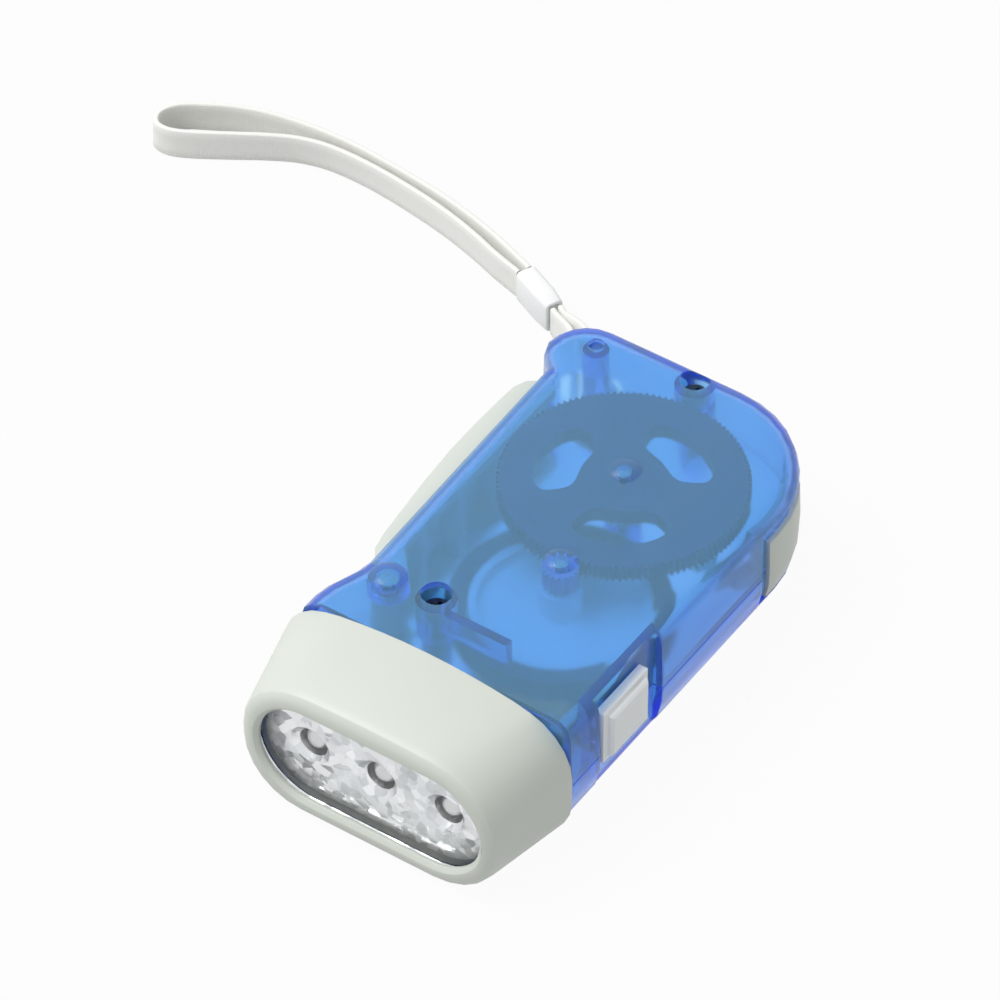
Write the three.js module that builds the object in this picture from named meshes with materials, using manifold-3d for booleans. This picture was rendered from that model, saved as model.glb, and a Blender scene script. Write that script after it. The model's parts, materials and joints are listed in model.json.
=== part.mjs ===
// Squeeze lever dynamo torch, lying on its flat back with the lever closed and locked.
// Millimetres, +Z up. The nose points along -Y. The lever is on the -X side, the switch and the lock on +X.
// The origin is on the flat back, in line with the middle of the nose.

import * as THREE from 'three';
import { mergeVertices } from 'three/addons/utils/BufferGeometryUtils.js';
import Module from 'manifold-3d';

const wasm = await Module();
wasm.setup();

// Clearances and cuts
const gap = 0.3;
const axleClearance = 0.2;
const overrun = 2;
const quarterTurn = Math.PI / 2;
const fullTurn = 2 * Math.PI;
const degree = Math.PI / 180;
const mostRoundShare = 0.497;

// Housing, as two shells that meet half way up.
// Its rooms lead from the drive gear's teeth and, on the right, from the flywheel's ring to the wall.
const body = {
  height: 26.2,
  noseRun: 30.4,
  leverRoom: 2.923,
  leverSlant: 1.7,
  rightRoom: 0.361,
  rearRoom: 7.737,
  shoulderProud: 2.9,
  rearShoulderProud: 5.2,
  wall: 1.8,
  endWall: 1.6,
  topRound: 3.6,
  backRoundHeight: 10,
  backRoundRight: 8.8,
  backRoundRear: 6,
  backRoundLever: 4,
  rearRightRadius: 20,
  rearLeftRadius: 8,
  flareFlat: 3.2,
  flareRun: 11,
  shoulderFlat: 0.5,
  shoulderRun: 5.5,
  draftShare: 0.03,
};

// Nose bezel
const bezel = {
  length: 18.5,
  proud: 0.2,
  crownShare: 0.66,
  rear: { leftProud: 3, rightProud: 0.5, radius: 11, lowRadius: 10, crown: 1.7 },
  front: { leftProud: -1.1, rightProud: -1.9, radius: 12.2, lowRadius: 11.6, crown: 0.6 },
  edgeRound: 2.2,
  wall: 1.7,
  lipThickness: 1.3,
  windowSide: 3.25,
  windowRim: 3.6,
  windowChamfer: 0.7,
};

// Neck of the shells inside the bezel
const neck = { length: 6.6, wall: 1.5, clearance: 0.5 };

// Light unit
const lens = { thickness: 1.5, lap: 0.8 };
const reflector = { depth: 8.4, cupRadius: 6.3, cupSpacing: 12.9, cupDepth: 7.2, rim: 0.5 };
const led = {
  radius: 2.5, flangeRadius: 2.9, flangeHeight: 1, bodyLength: 4.9, pinSize: 0.5, pinSpacing: 2.54,
};
const board = { thickness: 1.2, margin: 1 };
const cell = { radius: 5.8, thickness: 5.2, offset: -11.5 };
const rectifier = { width: 6, height: 5, depth: 2.2, offset: 9 };

// Lever pivot and the two gear pairs
const pivot = { x: -16.8, y: -19.6, pinRadius: 1.5, bossRadius: 3.4, hubRadius: 2.9 };
const sector = { teeth: 140, module: 0.7, band: 3.2, thickness: 2.3, angle: 1.1676 };
const drivePinion = { teeth: 12, hubRadius: 3 };
const driveGear = {
  teeth: 120, module: 0.34, thickness: 2.8, headroom: 0.8, hubRadius: 6.4, windowRadius: 15,
};
const ratchetThickness = 1;
const rotorPinion = { teeth: 16, angle: -1.438, extra: 0.4 };
const tooth = { tipShare: 0.22, rootShare: 0.62, addendumShare: 0.75, dedendumShare: 1.02 };
const gearWindow = {
  angles: [1.16, 3.3, 5.24], spanAngle: 1.3, hubMargin: 1, squareness: 0.6, steps: 24,
};
const axleRadius = 1;
const axleEnd = 1.2;
const domeRise = 1;
const axleDomeRadius = 2.9;
const pivotDomeRadius = 3.2;

// Lever: swing in degrees, and its outline as shares of its length and of how far it stands out
const lever = {
  swingAngle: 17,
  proud: 4.9,
  skin: 2,
  flange: 1.6,
  low: 4.2,
  topInset: 4.2,
  openingLow: 3.8,
  openingInset: 3.8,
  frontInset: 3.4,
  rearInset: 0.5,
  tailRadius: 1.2,
  ribThickness: 1.4,
};
const leverOuterShares = [
  [0, 0.12], [0.03, 0.38], [0.1, 0.53], [0.22, 0.66], [0.38, 0.84], [0.55, 0.97], [0.7, 1],
  [0.84, 0.98], [0.92, 0.94], [0.965, 0.76], [1, 0.3],
];
const leverRibShares = [0.2, 0.42, 0.66];
const leverNib = { rise: 1.4, span: 1.4 };
const armMargin = { front: 4, rear: 3.6 };
const spring = { turns: 4, wireRadius: 0.3, radius: 3.55, drop: 4.4, pitch: 1.05, leg: 6 };

// Rotor
const flywheel = { radius: 14.9, web: 2, rimHeight: 3.3, rimWidth: 1.4, hubRadius: 3.6, headroom: 0.7 };
const flyRing = { width: 3, height: 4.1, headroom: 0.5 };
const magnet = { radius: 8.8, low: 5, headroom: 0.5 };
const rotorBossHeight = 4.3;

// Stator and coil
const stator = { radius: 14.8, bore: 9.3, plate: 1, low: 2.8 };
const claw = { count: 6, thickness: 0.8, spanAngle: 0.3, reachShare: 0.75 };
const bobbin = { inner: 10.5, wall: 0.8, flange: 0.5 };
const statorRib = { width: 1.1, height: 1.5, seatWidth: 2 };

// Case screws, strap post and inner rib
const screw = {
  headRadius: 2.1, headHeight: 1.8, shankRadius: 1.1, tip: 8, seatDepth: 5.2, recessRadius: 2.6,
  bossRadius: 3.4, bossHeight: 8.9, columnRadius: 2.4, slotWidth: 0.7, slotDepth: 0.8, pilotFloor: 4.6,
};
const frontScrew = { margin: 0.363, angle: -2.1882 };
const rearScrew = { x: -1.4, margin: 0.34 };
const post = { sideInset: 6.3, rearInset: 6.1, radius: 2.2, dimpleRadius: 1.4, dimpleDepth: 0.9 };
const rib = { left: -8.3, right: 6.7, y: -20.1, thickness: 1.6, drop: 4 };

// Switch
const pocket = {
  front: -22.9, rear: -5.1, low: 3.6, topInset: 1.6, depth: 1.8, floorThickness: 1.8, border: 1.6,
};
// Finger scoop over the pocket, as shares of the pocket's length and depth
const scoopShares = [[0, 0], [0.33, 0.61], [0.61, 1], [0.86, 1], [0.94, 0.72], [0.99, 0]];
const knob = {
  clearance: 0.6, length: 12.5, plate: 1.7, drop: 2.1, topInset: 2.7, pad: 1.1, padMargin: 1, chamfer: 0.5,
};
const switchTravel = 4;
const stem = { width: 2, height: 3, offset: 1.3 };
const slideSwitch = {
  depth: 3, length: 9, height: 4.4, sliderLength: 1.7, sliderWidth: 2.6, sliderHeight: 2.4,
};
const slideSwitchPostThickness = 1.2;

// Lock, which slides round the rear right corner
const lock = {
  swingAngle: 8,
  halfHeight: 6.3,
  startAngle: -0.17,
  endAngle: 0.7,
  overlapAngle: 0.1,
  clearance: 0.3,
  guide: 1.1,
  guideDrop: 4.4,
  guideRise: 1,
  guideInset: 0.7,
  hookWidth: 1.5,
  armHeight: 2.6,
  notchHeight: 2.6,
  notchDepth: 0.7,
  notchAngle: 0.1,
};

// Strap: webbing stood on its edge, a sleeve and the tail round the post
const strap = { width: 6, thickness: 1, edgeRound: 0.25, steps: 62, tailSteps: 44 };
const sleeve = { width: 4, height: 6.6, nearWidth: 3.4, nearHeight: 6.3, low: 0.1 };
const strapSlot = { width: 9.8, clearance: 0.6, drop: 2.1 };
const lead = { radius: 0.5, spacing: 1, coilAngle: 0.2 };

// Strap routes as points at the middle of the webbing, drawn for a post that stands here
const routePost = { x: -19.4, y: 43.9 };
const strapRoute = [
  [-52.3, 69.7, 3.2], [-58.2, 71.4, 3.2], [-63.4, 73.2, 3.2], [-68.8, 74.8, 3.2], [-74.4, 76.1, 3.2],
  [-80.2, 77.1, 3.2], [-86.2, 77.9, 3.2], [-92.2, 78.3, 3.2], [-98.2, 78.1, 3.2], [-103.6, 76.8, 3.2],
  [-108.6, 74.3, 3.2], [-113.0, 71.6, 3.2], [-117.2, 69.0, 3.2], [-120.8, 66.9, 3.2], [-124.0, 65.7, 3.2],
  [-126.7, 66.1, 3.2], [-127.9, 68.2, 3.2], [-127.3, 70.7, 3.2], [-125.4, 72.9, 3.2], [-122.2, 74.9, 3.2],
  [-118.2, 77.0, 3.2], [-113.0, 78.9, 3.2], [-107.2, 80.1, 3.2], [-100.6, 80.8, 3.2], [-94.0, 80.9, 3.2],
  [-87.2, 80.4, 3.2], [-80.6, 79.6, 3.2], [-74.0, 78.6, 3.2], [-67.8, 77.2, 3.2], [-61.8, 75.5, 3.2],
  [-56.4, 73.6, 3.2], [-51.4, 71.7, 3.2],
];
const tailRoute = [
  [-42.2, 65.2, 3.2], [-40.4, 64.1, 3.3], [-37.6, 61.9, 4.8], [-34.2, 58.7, 7.2], [-31.0, 55.2, 9.2],
  [-28.4, 51.8, 10.6], [-26.3, 48.4, 11.0], [-24.6, 45.1, 11.0], [-21.9, 41.7, 11.0], [-19.4, 40.4, 11.0],
  [-16.9, 41.4, 11.0], [-15.9, 43.9, 11.0], [-16.9, 46.4, 11.0], [-20.2, 48.7, 11.0], [-23.5, 51.2, 11.0],
  [-26.2, 53.8, 11.0], [-28.9, 56.6, 10.3], [-32.2, 59.6, 8.6], [-36.0, 62.5, 5.9], [-39.2, 64.9, 3.6],
  [-41.3, 66.4, 3.2],
];
const sleeveEnds = { near: [-42.6, 66.3], far: [-51.3, 70.4] };

// Finishes
const finish = {
  blue: { color: 0x2f6fe8, roughness: 0.15, metalness: 0, transparent: true, opacity: 0.55 },
  grey: { color: 0xdbe0d8, roughness: 0.45, metalness: 0 },
  clear: { color: 0xf2f6f8, roughness: 0.05, metalness: 0, transparent: true, opacity: 0.35 },
  silver: { color: 0xd9dcde, roughness: 0.12, metalness: 0.9 },
  dark: { color: 0x24282c, roughness: 0.5, metalness: 0 },
  white: { color: 0xeef0ee, roughness: 0.45, metalness: 0 },
  steel: { color: 0x9a9da0, roughness: 0.3, metalness: 0.95 },
  ferrite: { color: 0x3a3a3d, roughness: 0.7, metalness: 0.1 },
  copper: { color: 0xb5673a, roughness: 0.35, metalness: 0.8 },
  board: { color: 0x2f6a45, roughness: 0.55, metalness: 0 },
  led: { color: 0xf4f7f2, roughness: 0.1, metalness: 0, transparent: true, opacity: 0.6 },
  webbing: { color: 0xe9e9e4, roughness: 0.85, metalness: 0 },
  redLead: { color: 0xb03028, roughness: 0.5, metalness: 0 },
  blackLead: { color: 0x26262a, roughness: 0.5, metalness: 0 },
};

// Mesh and solid helpers

function signedVolume(positions, triangles) {
  let volume = 0;
  for (let i = 0; i < triangles.length; i += 3) {
    const [a, b, c] = [0, 1, 2].map((k) => new THREE.Vector3().fromArray(positions, 3 * triangles[i + k]));
    volume += a.dot(b.cross(c)) / 6;
  }
  return volume;
}

function solid(geometry) {
  const bare = geometry.clone();
  bare.deleteAttribute('normal');
  bare.deleteAttribute('uv');
  const merged = mergeVertices(bare);
  const positions = merged.getAttribute('position').array;
  const index = merged.getIndex().array;
  const triangles = [];
  for (let i = 0; i < index.length; i += 3) {
    const [a, b, c] = [index[i], index[i + 1], index[i + 2]];
    if (a !== b && b !== c && c !== a) triangles.push(a, b, c);
  }
  if (signedVolume(positions, triangles) < 0) triangles.reverse();
  return new wasm.Manifold(new wasm.Mesh({
    numProp: 3,
    vertProperties: new Float32Array(positions),
    triVerts: new Uint32Array(triangles),
  }));
}

function toGeometry(manifold) {
  const mesh = manifold.getMesh();
  const geometry = new THREE.BufferGeometry();
  geometry.setAttribute('position', new THREE.BufferAttribute(mesh.vertProperties.slice(), 3));
  geometry.setIndex(new THREE.BufferAttribute(mesh.triVerts.slice(), 1));
  return geometry;
}

function point(x, y) {
  return new THREE.Vector2(x, y);
}

function polar(centre, radius, angle) {
  return point(centre.x + radius * Math.cos(angle), centre.y + radius * Math.sin(angle));
}

function arc(centre, radiusX, radiusY, from, to, steps) {
  return Array.from({ length: steps + 1 }, (unused, i) => {
    const angle = from + (to - from) * i / steps;
    return point(centre.x + radiusX * Math.cos(angle), centre.y + radiusY * Math.sin(angle));
  });
}

function circle(centre, radius, steps = 24) {
  return arc(centre, radius, radius, 0, fullTurn, steps).slice(0, steps);
}

function prism(outline, low, high, holes = []) {
  const shape = new THREE.Shape(outline);
  shape.holes = holes.map((hole) => new THREE.Path(hole));
  const geometry = new THREE.ExtrudeGeometry(shape, { depth: high - low, bevelEnabled: false });
  return solid(geometry.translate(0, 0, low));
}

function rod(centre, radius, low, high, steps = 24) {
  return prism(circle(centre, radius, steps), low, high);
}

function tube(centre, inner, outer, low, high, steps = 32) {
  return prism(circle(centre, outer, steps), low, high, [circle(centre, inner, steps)]);
}

function block(x0, x1, y0, y1, z0, z1) {
  const geometry = new THREE.BoxGeometry(x1 - x0, y1 - y0, z1 - z0);
  return solid(geometry.translate((x0 + x1) / 2, (y0 + y1) / 2, (z0 + z1) / 2));
}

function ringSector(centre, inner, outer, from, to, low, high, steps = 12) {
  const outline = [
    ...arc(centre, outer, outer, from, to, steps),
    ...arc(centre, inner, inner, to, from, steps),
  ];
  return prism(outline, low, high);
}

const place = {
  x: (p, level) => new THREE.Vector3(level, p.x, p.y),
  y: (p, level) => new THREE.Vector3(p.x, level, p.y),
  z: (p, level) => new THREE.Vector3(p.x, p.y, level),
};

// Skin through a row of outlines with equal point counts, closed at both ends
function loft(outlines, levels, axis = 'z') {
  const count = outlines[0].length;
  const corners = outlines.flatMap((outline, i) => outline.map((p) => place[axis](p, levels[i])));
  const positions = corners.flatMap((corner) => corner.toArray());
  const index = [];
  for (let i = 0; i + 1 < outlines.length; i++) {
    for (let j = 0; j < count; j++) {
      const next = (j + 1) % count;
      const [a, b, c, d] = [i * count + j, i * count + next, (i + 1) * count + j, (i + 1) * count + next];
      index.push(a, b, d, a, d, c);
    }
  }
  const last = (outlines.length - 1) * count;
  for (const [a, b, c] of THREE.ShapeUtils.triangulateShape(outlines[0], [])) index.push(a, c, b);
  for (const [a, b, c] of THREE.ShapeUtils.triangulateShape(outlines.at(-1), [])) {
    index.push(last + a, last + b, last + c);
  }
  const geometry = new THREE.BufferGeometry();
  geometry.setAttribute('position', new THREE.Float32BufferAttribute(positions, 3));
  geometry.setIndex(index);
  return solid(geometry);
}

// Turned piece about a vertical axis, from profile points of radius and height
function turned(profile, centre, steps = 24) {
  const geometry = new THREE.LatheGeometry(profile, steps);
  return solid(geometry.rotateX(quarterTurn).translate(centre.x, centre.y, 0));
}

function union(pieces) {
  return pieces.reduce((whole, piece) => whole.add(piece));
}

function cutAll(whole, cuts) {
  return cuts.reduce((left, cut) => left.subtract(cut), whole);
}

// Rectangle whose corners are rounded, by nearly half its lesser side at most
function roundedRectangle(width, height, radius, steps = 6, lowRadius = radius) {
  const most = mostRoundShare * Math.min(width, height);
  return [[1, 1], [-1, 1], [-1, -1], [1, -1]].flatMap(([sideX, sideY], k) => {
    const r = Math.min(sideY > 0 ? radius : lowRadius, most);
    const centre = point(sideX * (width / 2 - r), sideY * (height / 2 - r));
    return arc(centre, r, r, k * quarterTurn, (k + 1) * quarterTurn, steps);
  });
}

function raised(outline, height) {
  return outline.map((p) => point(p.x, p.y + height));
}

function tubeAlong(points, radius, sides, steps) {
  const curve = new THREE.CatmullRomCurve3(points.map((p) => new THREE.Vector3(...p)));
  const shape = new THREE.Shape(circle(point(0, 0), radius, sides));
  return solid(new THREE.ExtrudeGeometry(shape, { steps, extrudePath: curve, bevelEnabled: false }));
}

// Places that follow from the gear pairs

const pivotPoint = point(pivot.x, pivot.y);
const leverToDrive = (sector.teeth - drivePinion.teeth) * sector.module / 2;
const drivePoint = polar(pivotPoint, leverToDrive, sector.angle);
const driveToRotor = (driveGear.teeth + rotorPinion.teeth) * driveGear.module / 2;
const rotorPoint = polar(drivePoint, driveToRotor, rotorPinion.angle);
const gearReach = driveGear.teeth * driveGear.module / 2 + tooth.addendumShare * driveGear.module;
const ringReach = flywheel.radius + gap + flyRing.width;

// Walls, from front to rear and from left to right

const nose = pivot.y - body.noseRun;
const bezelRear = nose + bezel.length;
const bodyFront = bezelRear + gap;
const bodyRear = drivePoint.y + gearReach + body.rearRoom;
const recessFront = bodyFront + body.flareFlat + body.flareRun;
const recessRear = bodyRear - body.rearLeftRadius - body.shoulderFlat - body.shoulderRun;
const leftWall = drivePoint.x - gearReach - body.leverRoom;
const leftShoulder = leftWall - body.shoulderProud;
const rearShoulder = leftWall - body.rearShoulderProud;
const pocketFloor = rotorPoint.x + ringReach + body.rightRoom + pocket.floorThickness;
const rightWall = pocketFloor + pocket.depth;
const cornerPoint = point(rightWall - body.rearRightRadius, bodyRear - body.rearRightRadius);
const postPoint = point(leftShoulder + post.sideInset, bodyRear - post.rearInset);
const frontScrewReach = ringReach + screw.columnRadius + frontScrew.margin;
const screwPoints = [
  { name: 'front', at: polar(rotorPoint, frontScrewReach, frontScrew.angle) },
  { name: 'rear', at: point(rearScrew.x, drivePoint.y + gearReach + screw.bossRadius + rearScrew.margin) },
];

// Levels, from the top down

const bezelHeight = body.height + bezel.proud;
const bezelMiddle = bezelHeight / 2;
const parting = body.height / 2;
const ceiling = body.height - body.wall;
const driveGearLow = ceiling - driveGear.headroom - driveGear.thickness;
const sectorLow = driveGearLow - 2 * gap - ratchetThickness - sector.thickness;
const flywheelLow = sectorLow - flywheel.headroom - flywheel.rimHeight;
const flyRingLow = sectorLow - flyRing.headroom - flyRing.height;
const magnetHigh = flywheelLow - magnet.headroom;
const statorHigh = flyRingLow - gap;
const leverHigh = body.height - lever.topInset;
const openingHigh = body.height - lever.openingInset;
const screwSeat = body.height - screw.seatDepth;
const bossFoot = body.height - screw.bossHeight;
const pocketHigh = body.height - pocket.topInset;
const knobHigh = pocketHigh - knob.topInset;
const knobLow = parting - knob.drop;
const springLow = parting - spring.drop;
const strapMiddle = parting - strapSlot.drop;

// The strap stays with its post, and its tail rises to the slot

function besidePost(x, y) {
  return [x + postPoint.x - routePost.x, y + postPoint.y - routePost.y];
}

const strapPath = strapRoute.map(([x, y, z]) => [...besidePost(x, y), z]);
const tailHeights = tailRoute.map(([, , z]) => z);
const tailLow = Math.min(...tailHeights);
const tailRise = (strapMiddle - tailLow) / (Math.max(...tailHeights) - tailLow);
const tailPath = tailRoute.map(([x, y, z]) => [...besidePost(x, y), tailLow + (z - tailLow) * tailRise]);
const sleeveNear = point(...besidePost(...sleeveEnds.near));
const sleeveFar = point(...besidePost(...sleeveEnds.far));

function smooth(t) {
  return t * t * (3 - 2 * t);
}

// Housing

// How far each wall lies inside its widest place at a height; inward is the wall thickness to go in
function wallInsets(inward, arcAngle, atTop) {
  const share = 1 - Math.cos(arcAngle);
  const rise = Math.sin(arcAngle);
  if (atTop) {
    const inset = inward + (body.topRound - inward) * share;
    const height = body.height - body.topRound + (body.topRound - inward) * rise;
    return { height, right: inset, rear: inset, lever: inset, shoulder: inset };
  }
  const height = inward + (body.backRoundHeight - inward) * (1 - rise);
  const atSide = (round) => inward + (round - inward) * share;
  return {
    height,
    right: atSide(body.backRoundRight),
    rear: atSide(body.backRoundRear),
    lever: atSide(body.backRoundLever),
    shoulder: atSide(body.backRoundRear),
  };
}

function bodyOutline(insets, front) {
  const draft = body.draftShare * Math.abs(insets.height - parting);
  const right = rightWall - insets.right - draft;
  const rear = bodyRear - insets.rear - draft;
  const rightRadiusX = body.rearRightRadius - insets.right;
  const rightRadiusY = body.rearRightRadius - insets.rear;
  const leftRadiusX = body.rearLeftRadius - insets.shoulder;
  const leftRadiusY = body.rearLeftRadius - insets.rear;
  const frontLeft = leftShoulder + insets.shoulder + draft;
  const rearLeft = rearShoulder + insets.shoulder + draft;
  const recess = leftWall + insets.lever + draft;
  const rearRecess = recess - body.leverSlant;
  const rightCentre = point(right - rightRadiusX, rear - rightRadiusY);
  const leftCentre = point(rearLeft + leftRadiusX, rear - leftRadiusY);
  const between = (from, to, t) => from + (to - from) * smooth(t);
  const steps = 4;
  const rearCurve = Array.from({ length: steps + 1 }, (unused, i) => (
    point(between(rearLeft, rearRecess, i / steps), recessRear + body.shoulderRun * (1 - i / steps))
  ));
  const frontCurve = Array.from({ length: steps + 1 }, (unused, i) => (
    point(between(recess, frontLeft, i / steps), recessFront - body.flareRun * i / steps)
  ));
  return [
    point(right, front),
    ...arc(rightCentre, rightRadiusX, rightRadiusY, 0, quarterTurn, 8),
    ...arc(leftCentre, leftRadiusX, leftRadiusY, quarterTurn, Math.PI, 5),
    ...rearCurve,
    ...frontCurve,
    point(frontLeft, front),
  ];
}

function bodyBlock(inward, front) {
  const backSteps = [1, 0.75, 0.5, 0.25, 0].map((share) => wallInsets(inward, share * quarterTurn, false));
  const topSteps = [0, 0.33, 0.67, 1].map((share) => wallInsets(inward, share * quarterTurn, true));
  const middle = { ...wallInsets(inward, 0, false), height: parting };
  const rings = [...backSteps, middle, ...topSteps];
  return loft(rings.map((ring) => bodyOutline(ring, front)), rings.map((ring) => ring.height));
}

// Bezel rim with its two sides placed from the walls of the housing
function rimOf(rim) {
  return { ...rim, left: leftShoulder - rim.leftProud, right: rightWall + rim.rightProud };
}

const outerBlock = bodyBlock(0, bodyFront);
const innerBlock = bodyBlock(body.wall, bodyFront + body.endWall);
const clearBlock = bodyBlock(body.wall + gap, bodyFront + body.endWall + gap);

const rearRim = rimOf(bezel.rear);
const frontRim = rimOf(bezel.front);
const bezelTaper = (rearRim.right - frontRim.right) / bezel.length;
const neckWidth = 2 * (rearRim.right - bezelTaper * neck.length - bezel.wall - neck.clearance);
const neckHeight = bezelHeight - 2 * (bezel.wall + neck.clearance);
const neckRadius = bezel.front.radius - bezel.wall - neck.clearance;

function neckTube(inward, from, to) {
  const outline = raised(
    roundedRectangle(neckWidth - 2 * inward, neckHeight - 2 * inward, neckRadius - inward),
    bezelMiddle,
  );
  return loft([outline, outline], [from, to], 'y');
}

const neckFront = bodyFront - neck.length;
const neckMouth = neckTube(neck.wall, neckFront - overrun, bodyFront + body.endWall + overrun);

function halfSpace(top) {
  const reach = bodyRear - nose;
  const low = top ? parting + gap / 2 : -overrun;
  const high = top ? body.height + overrun : parting - gap / 2;
  return block(-reach, reach, -reach, reach, low, high);
}

function dome(centre, radius) {
  const cap = [0, 0.33, 0.67, 1].map((share) => (
    point(radius * Math.cos(share * quarterTurn), body.height + domeRise * Math.sin(share * quarterTurn))
  ));
  cap[cap.length - 1].x = 0;
  const foot = body.height - body.wall / 2;
  return turned([point(0, foot), point(radius, foot), ...cap], centre);
}

// Opening of the left wall that the lever closes, its strap slot and the switch pocket

const leverFront = recessFront + lever.frontInset;
const leverRear = recessRear - lever.rearInset;

function leverOpening() {
  const front = recessFront + gap;
  const rear = leverRear + 2 * gap;
  const inside = leftWall + body.wall + 4 * gap;
  return block(leftShoulder - overrun, inside, front, rear, lever.openingLow, openingHigh);
}

function strapOpening() {
  const half = strap.width / 2 + strapSlot.clearance;
  const geometry = new THREE.BoxGeometry(2 * body.rearLeftRadius, strapSlot.width, 2 * half);
  const outward = 3 * quarterTurn / 2;
  geometry.translate(body.rearLeftRadius, 0, strapMiddle);
  return solid(geometry.rotateZ(outward).translate(postPoint.x, postPoint.y, 0));
}

const stemMiddle = pocket.front + knob.clearance + stem.offset;

function switchWall() {
  const wall = block(
    pocketFloor - pocket.floorThickness, rightWall,
    pocket.front - pocket.border, pocket.rear + pocket.border,
    pocket.low - pocket.border, ceiling + body.wall / 2,
  );
  return wall.intersect(outerBlock);
}

function switchPocket() {
  const hollow = block(pocketFloor, rightWall + overrun, pocket.front, pocket.rear, pocket.low, pocketHigh);
  const slot = block(
    pocketFloor - pocket.floorThickness - overrun / 4, pocketFloor + gap,
    stemMiddle - stem.width / 2 - 2 * gap, stemMiddle + stem.width / 2 + switchTravel + 2 * gap,
    parting - stem.height / 2 - gap, parting + stem.height / 2 + gap,
  );
  return union([hollow, slot, pocketScoop()]);
}

function pocketScoop() {
  const edge = scoopShares.map(([along, deep]) => (
    point(rightWall - pocket.depth * deep, pocket.front + (pocket.rear - pocket.front) * along)
  ));
  const outside = [edge.at(-1), edge[0]].map((p) => point(p.x + overrun, p.y));
  return prism([...edge, ...outside], pocketHigh - gap, body.height + overrun);
}

const lockSwing = lock.swingAngle * degree;
const lockLow = parting - lock.halfHeight;
const lockHigh = parting + lock.halfHeight;
const lockWindowLow = lockLow - lock.clearance;
const lockWindowEnd = lock.endAngle + lockSwing + lock.clearance / body.rearRightRadius;

// Window for the lock's thumb piece, and the shallow notch round it
function lockWindow() {
  const radius = body.rearRightRadius;
  const from = lock.startAngle - lock.clearance / radius;
  const window = ringSector(
    cornerPoint, radius / 2, radius + overrun, from, lockWindowEnd,
    lockWindowLow, lockHigh + lock.clearance,
  );
  const notch = ringSector(
    cornerPoint, radius / 2, radius + overrun, lock.startAngle - lock.notchAngle, lockWindowEnd,
    lockWindowLow, lockHigh + lock.notchHeight,
  ).subtract(bodyBlock(lock.notchDepth, bodyFront));
  return window.add(notch);
}

function innerRib() {
  const half = rib.thickness / 2;
  return block(rib.left, rib.right, rib.y - half, rib.y + half, ceiling - rib.drop, ceiling + gap);
}

function topShell() {
  const bosses = [
    rod(pivotPoint, pivot.bossRadius, leverHigh + gap, ceiling + body.wall / 2),
    rod(postPoint, post.radius, parting + gap / 2, ceiling + body.wall / 2),
    ...screwPoints.map(({ at }) => rod(at, screw.bossRadius, bossFoot, ceiling + body.wall / 2)),
    innerRib(),
  ];
  const insideBosses = union(bosses).intersect(outerBlock);
  const domes = [
    dome(pivotPoint, pivotDomeRadius), dome(drivePoint, axleDomeRadius), dome(rotorPoint, axleDomeRadius),
  ];
  const neckHalf = neckTube(0, neckFront, bodyFront + body.endWall / 2);
  const walls = union([outerBlock.subtract(innerBlock).subtract(strapOpening()), neckHalf, switchWall()])
    .intersect(halfSpace(true));
  const axleTop = body.height - axleEnd / 2;
  const cuts = [
    neckMouth,
    leverOpening(),
    switchPocket(),
    lockWindow(),
    rod(pivotPoint, pivot.pinRadius + axleClearance, leverHigh, axleTop),
    rod(drivePoint, axleRadius + axleClearance, ceiling - gap, axleTop),
    rod(rotorPoint, axleRadius + axleClearance, ceiling - gap, axleTop),
    rod(postPoint, post.dimpleRadius, body.height - post.dimpleDepth, body.height + overrun),
    ...screwPoints.flatMap(({ at }) => [
      rod(at, screw.recessRadius, screwSeat, body.height + overrun),
      rod(at, screw.shankRadius + gap, bossFoot - overrun, screwSeat + gap, 16),
    ]),
  ];
  return cutAll(walls.add(insideBosses).add(union(domes)), cuts);
}

function bottomShell() {
  const floor = body.wall / 2;
  const statorSeat = stator.radius + gap;
  const bosses = [
    rod(pivotPoint, pivot.bossRadius, floor, lever.low - gap),
    rod(drivePoint, drivePinion.hubRadius, floor, sectorLow - gap),
    rod(rotorPoint, axleRadius + body.wall, floor, rotorBossHeight),
    rod(postPoint, post.radius, floor, parting - gap / 2),
    ...screwPoints.map(({ at }) => rod(at, screw.columnRadius, floor, bossFoot - gap)),
    tube(rotorPoint, statorSeat, statorSeat + statorRib.width, floor, body.wall + statorRib.height),
    tube(rotorPoint, stator.bore, stator.bore + statorRib.seatWidth, floor, stator.low - gap),
    ...switchPosts(),
  ];
  const insideBosses = union(bosses).intersect(outerBlock.intersect(halfSpace(false)).add(clearBlock));
  const neckHalf = neckTube(0, neckFront, bodyFront + body.endWall / 2);
  const walls = union([outerBlock.subtract(innerBlock).subtract(strapOpening()), neckHalf, switchWall()])
    .intersect(halfSpace(false));
  const cuts = [
    neckMouth,
    leverOpening(),
    switchPocket(),
    lockWindow(),
    rod(pivotPoint, pivot.pinRadius + axleClearance, axleEnd - gap, lever.low),
    rod(drivePoint, axleRadius + axleClearance, axleEnd - gap, sectorLow),
    rod(rotorPoint, axleRadius + axleClearance, axleEnd - gap, rotorBossHeight + gap),
    ...screwPoints.map(({ at }) => rod(at, screw.shankRadius + gap, screw.pilotFloor, bossFoot, 16)),
  ];
  return cutAll(walls.add(insideBosses), cuts);
}

// Nose

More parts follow.
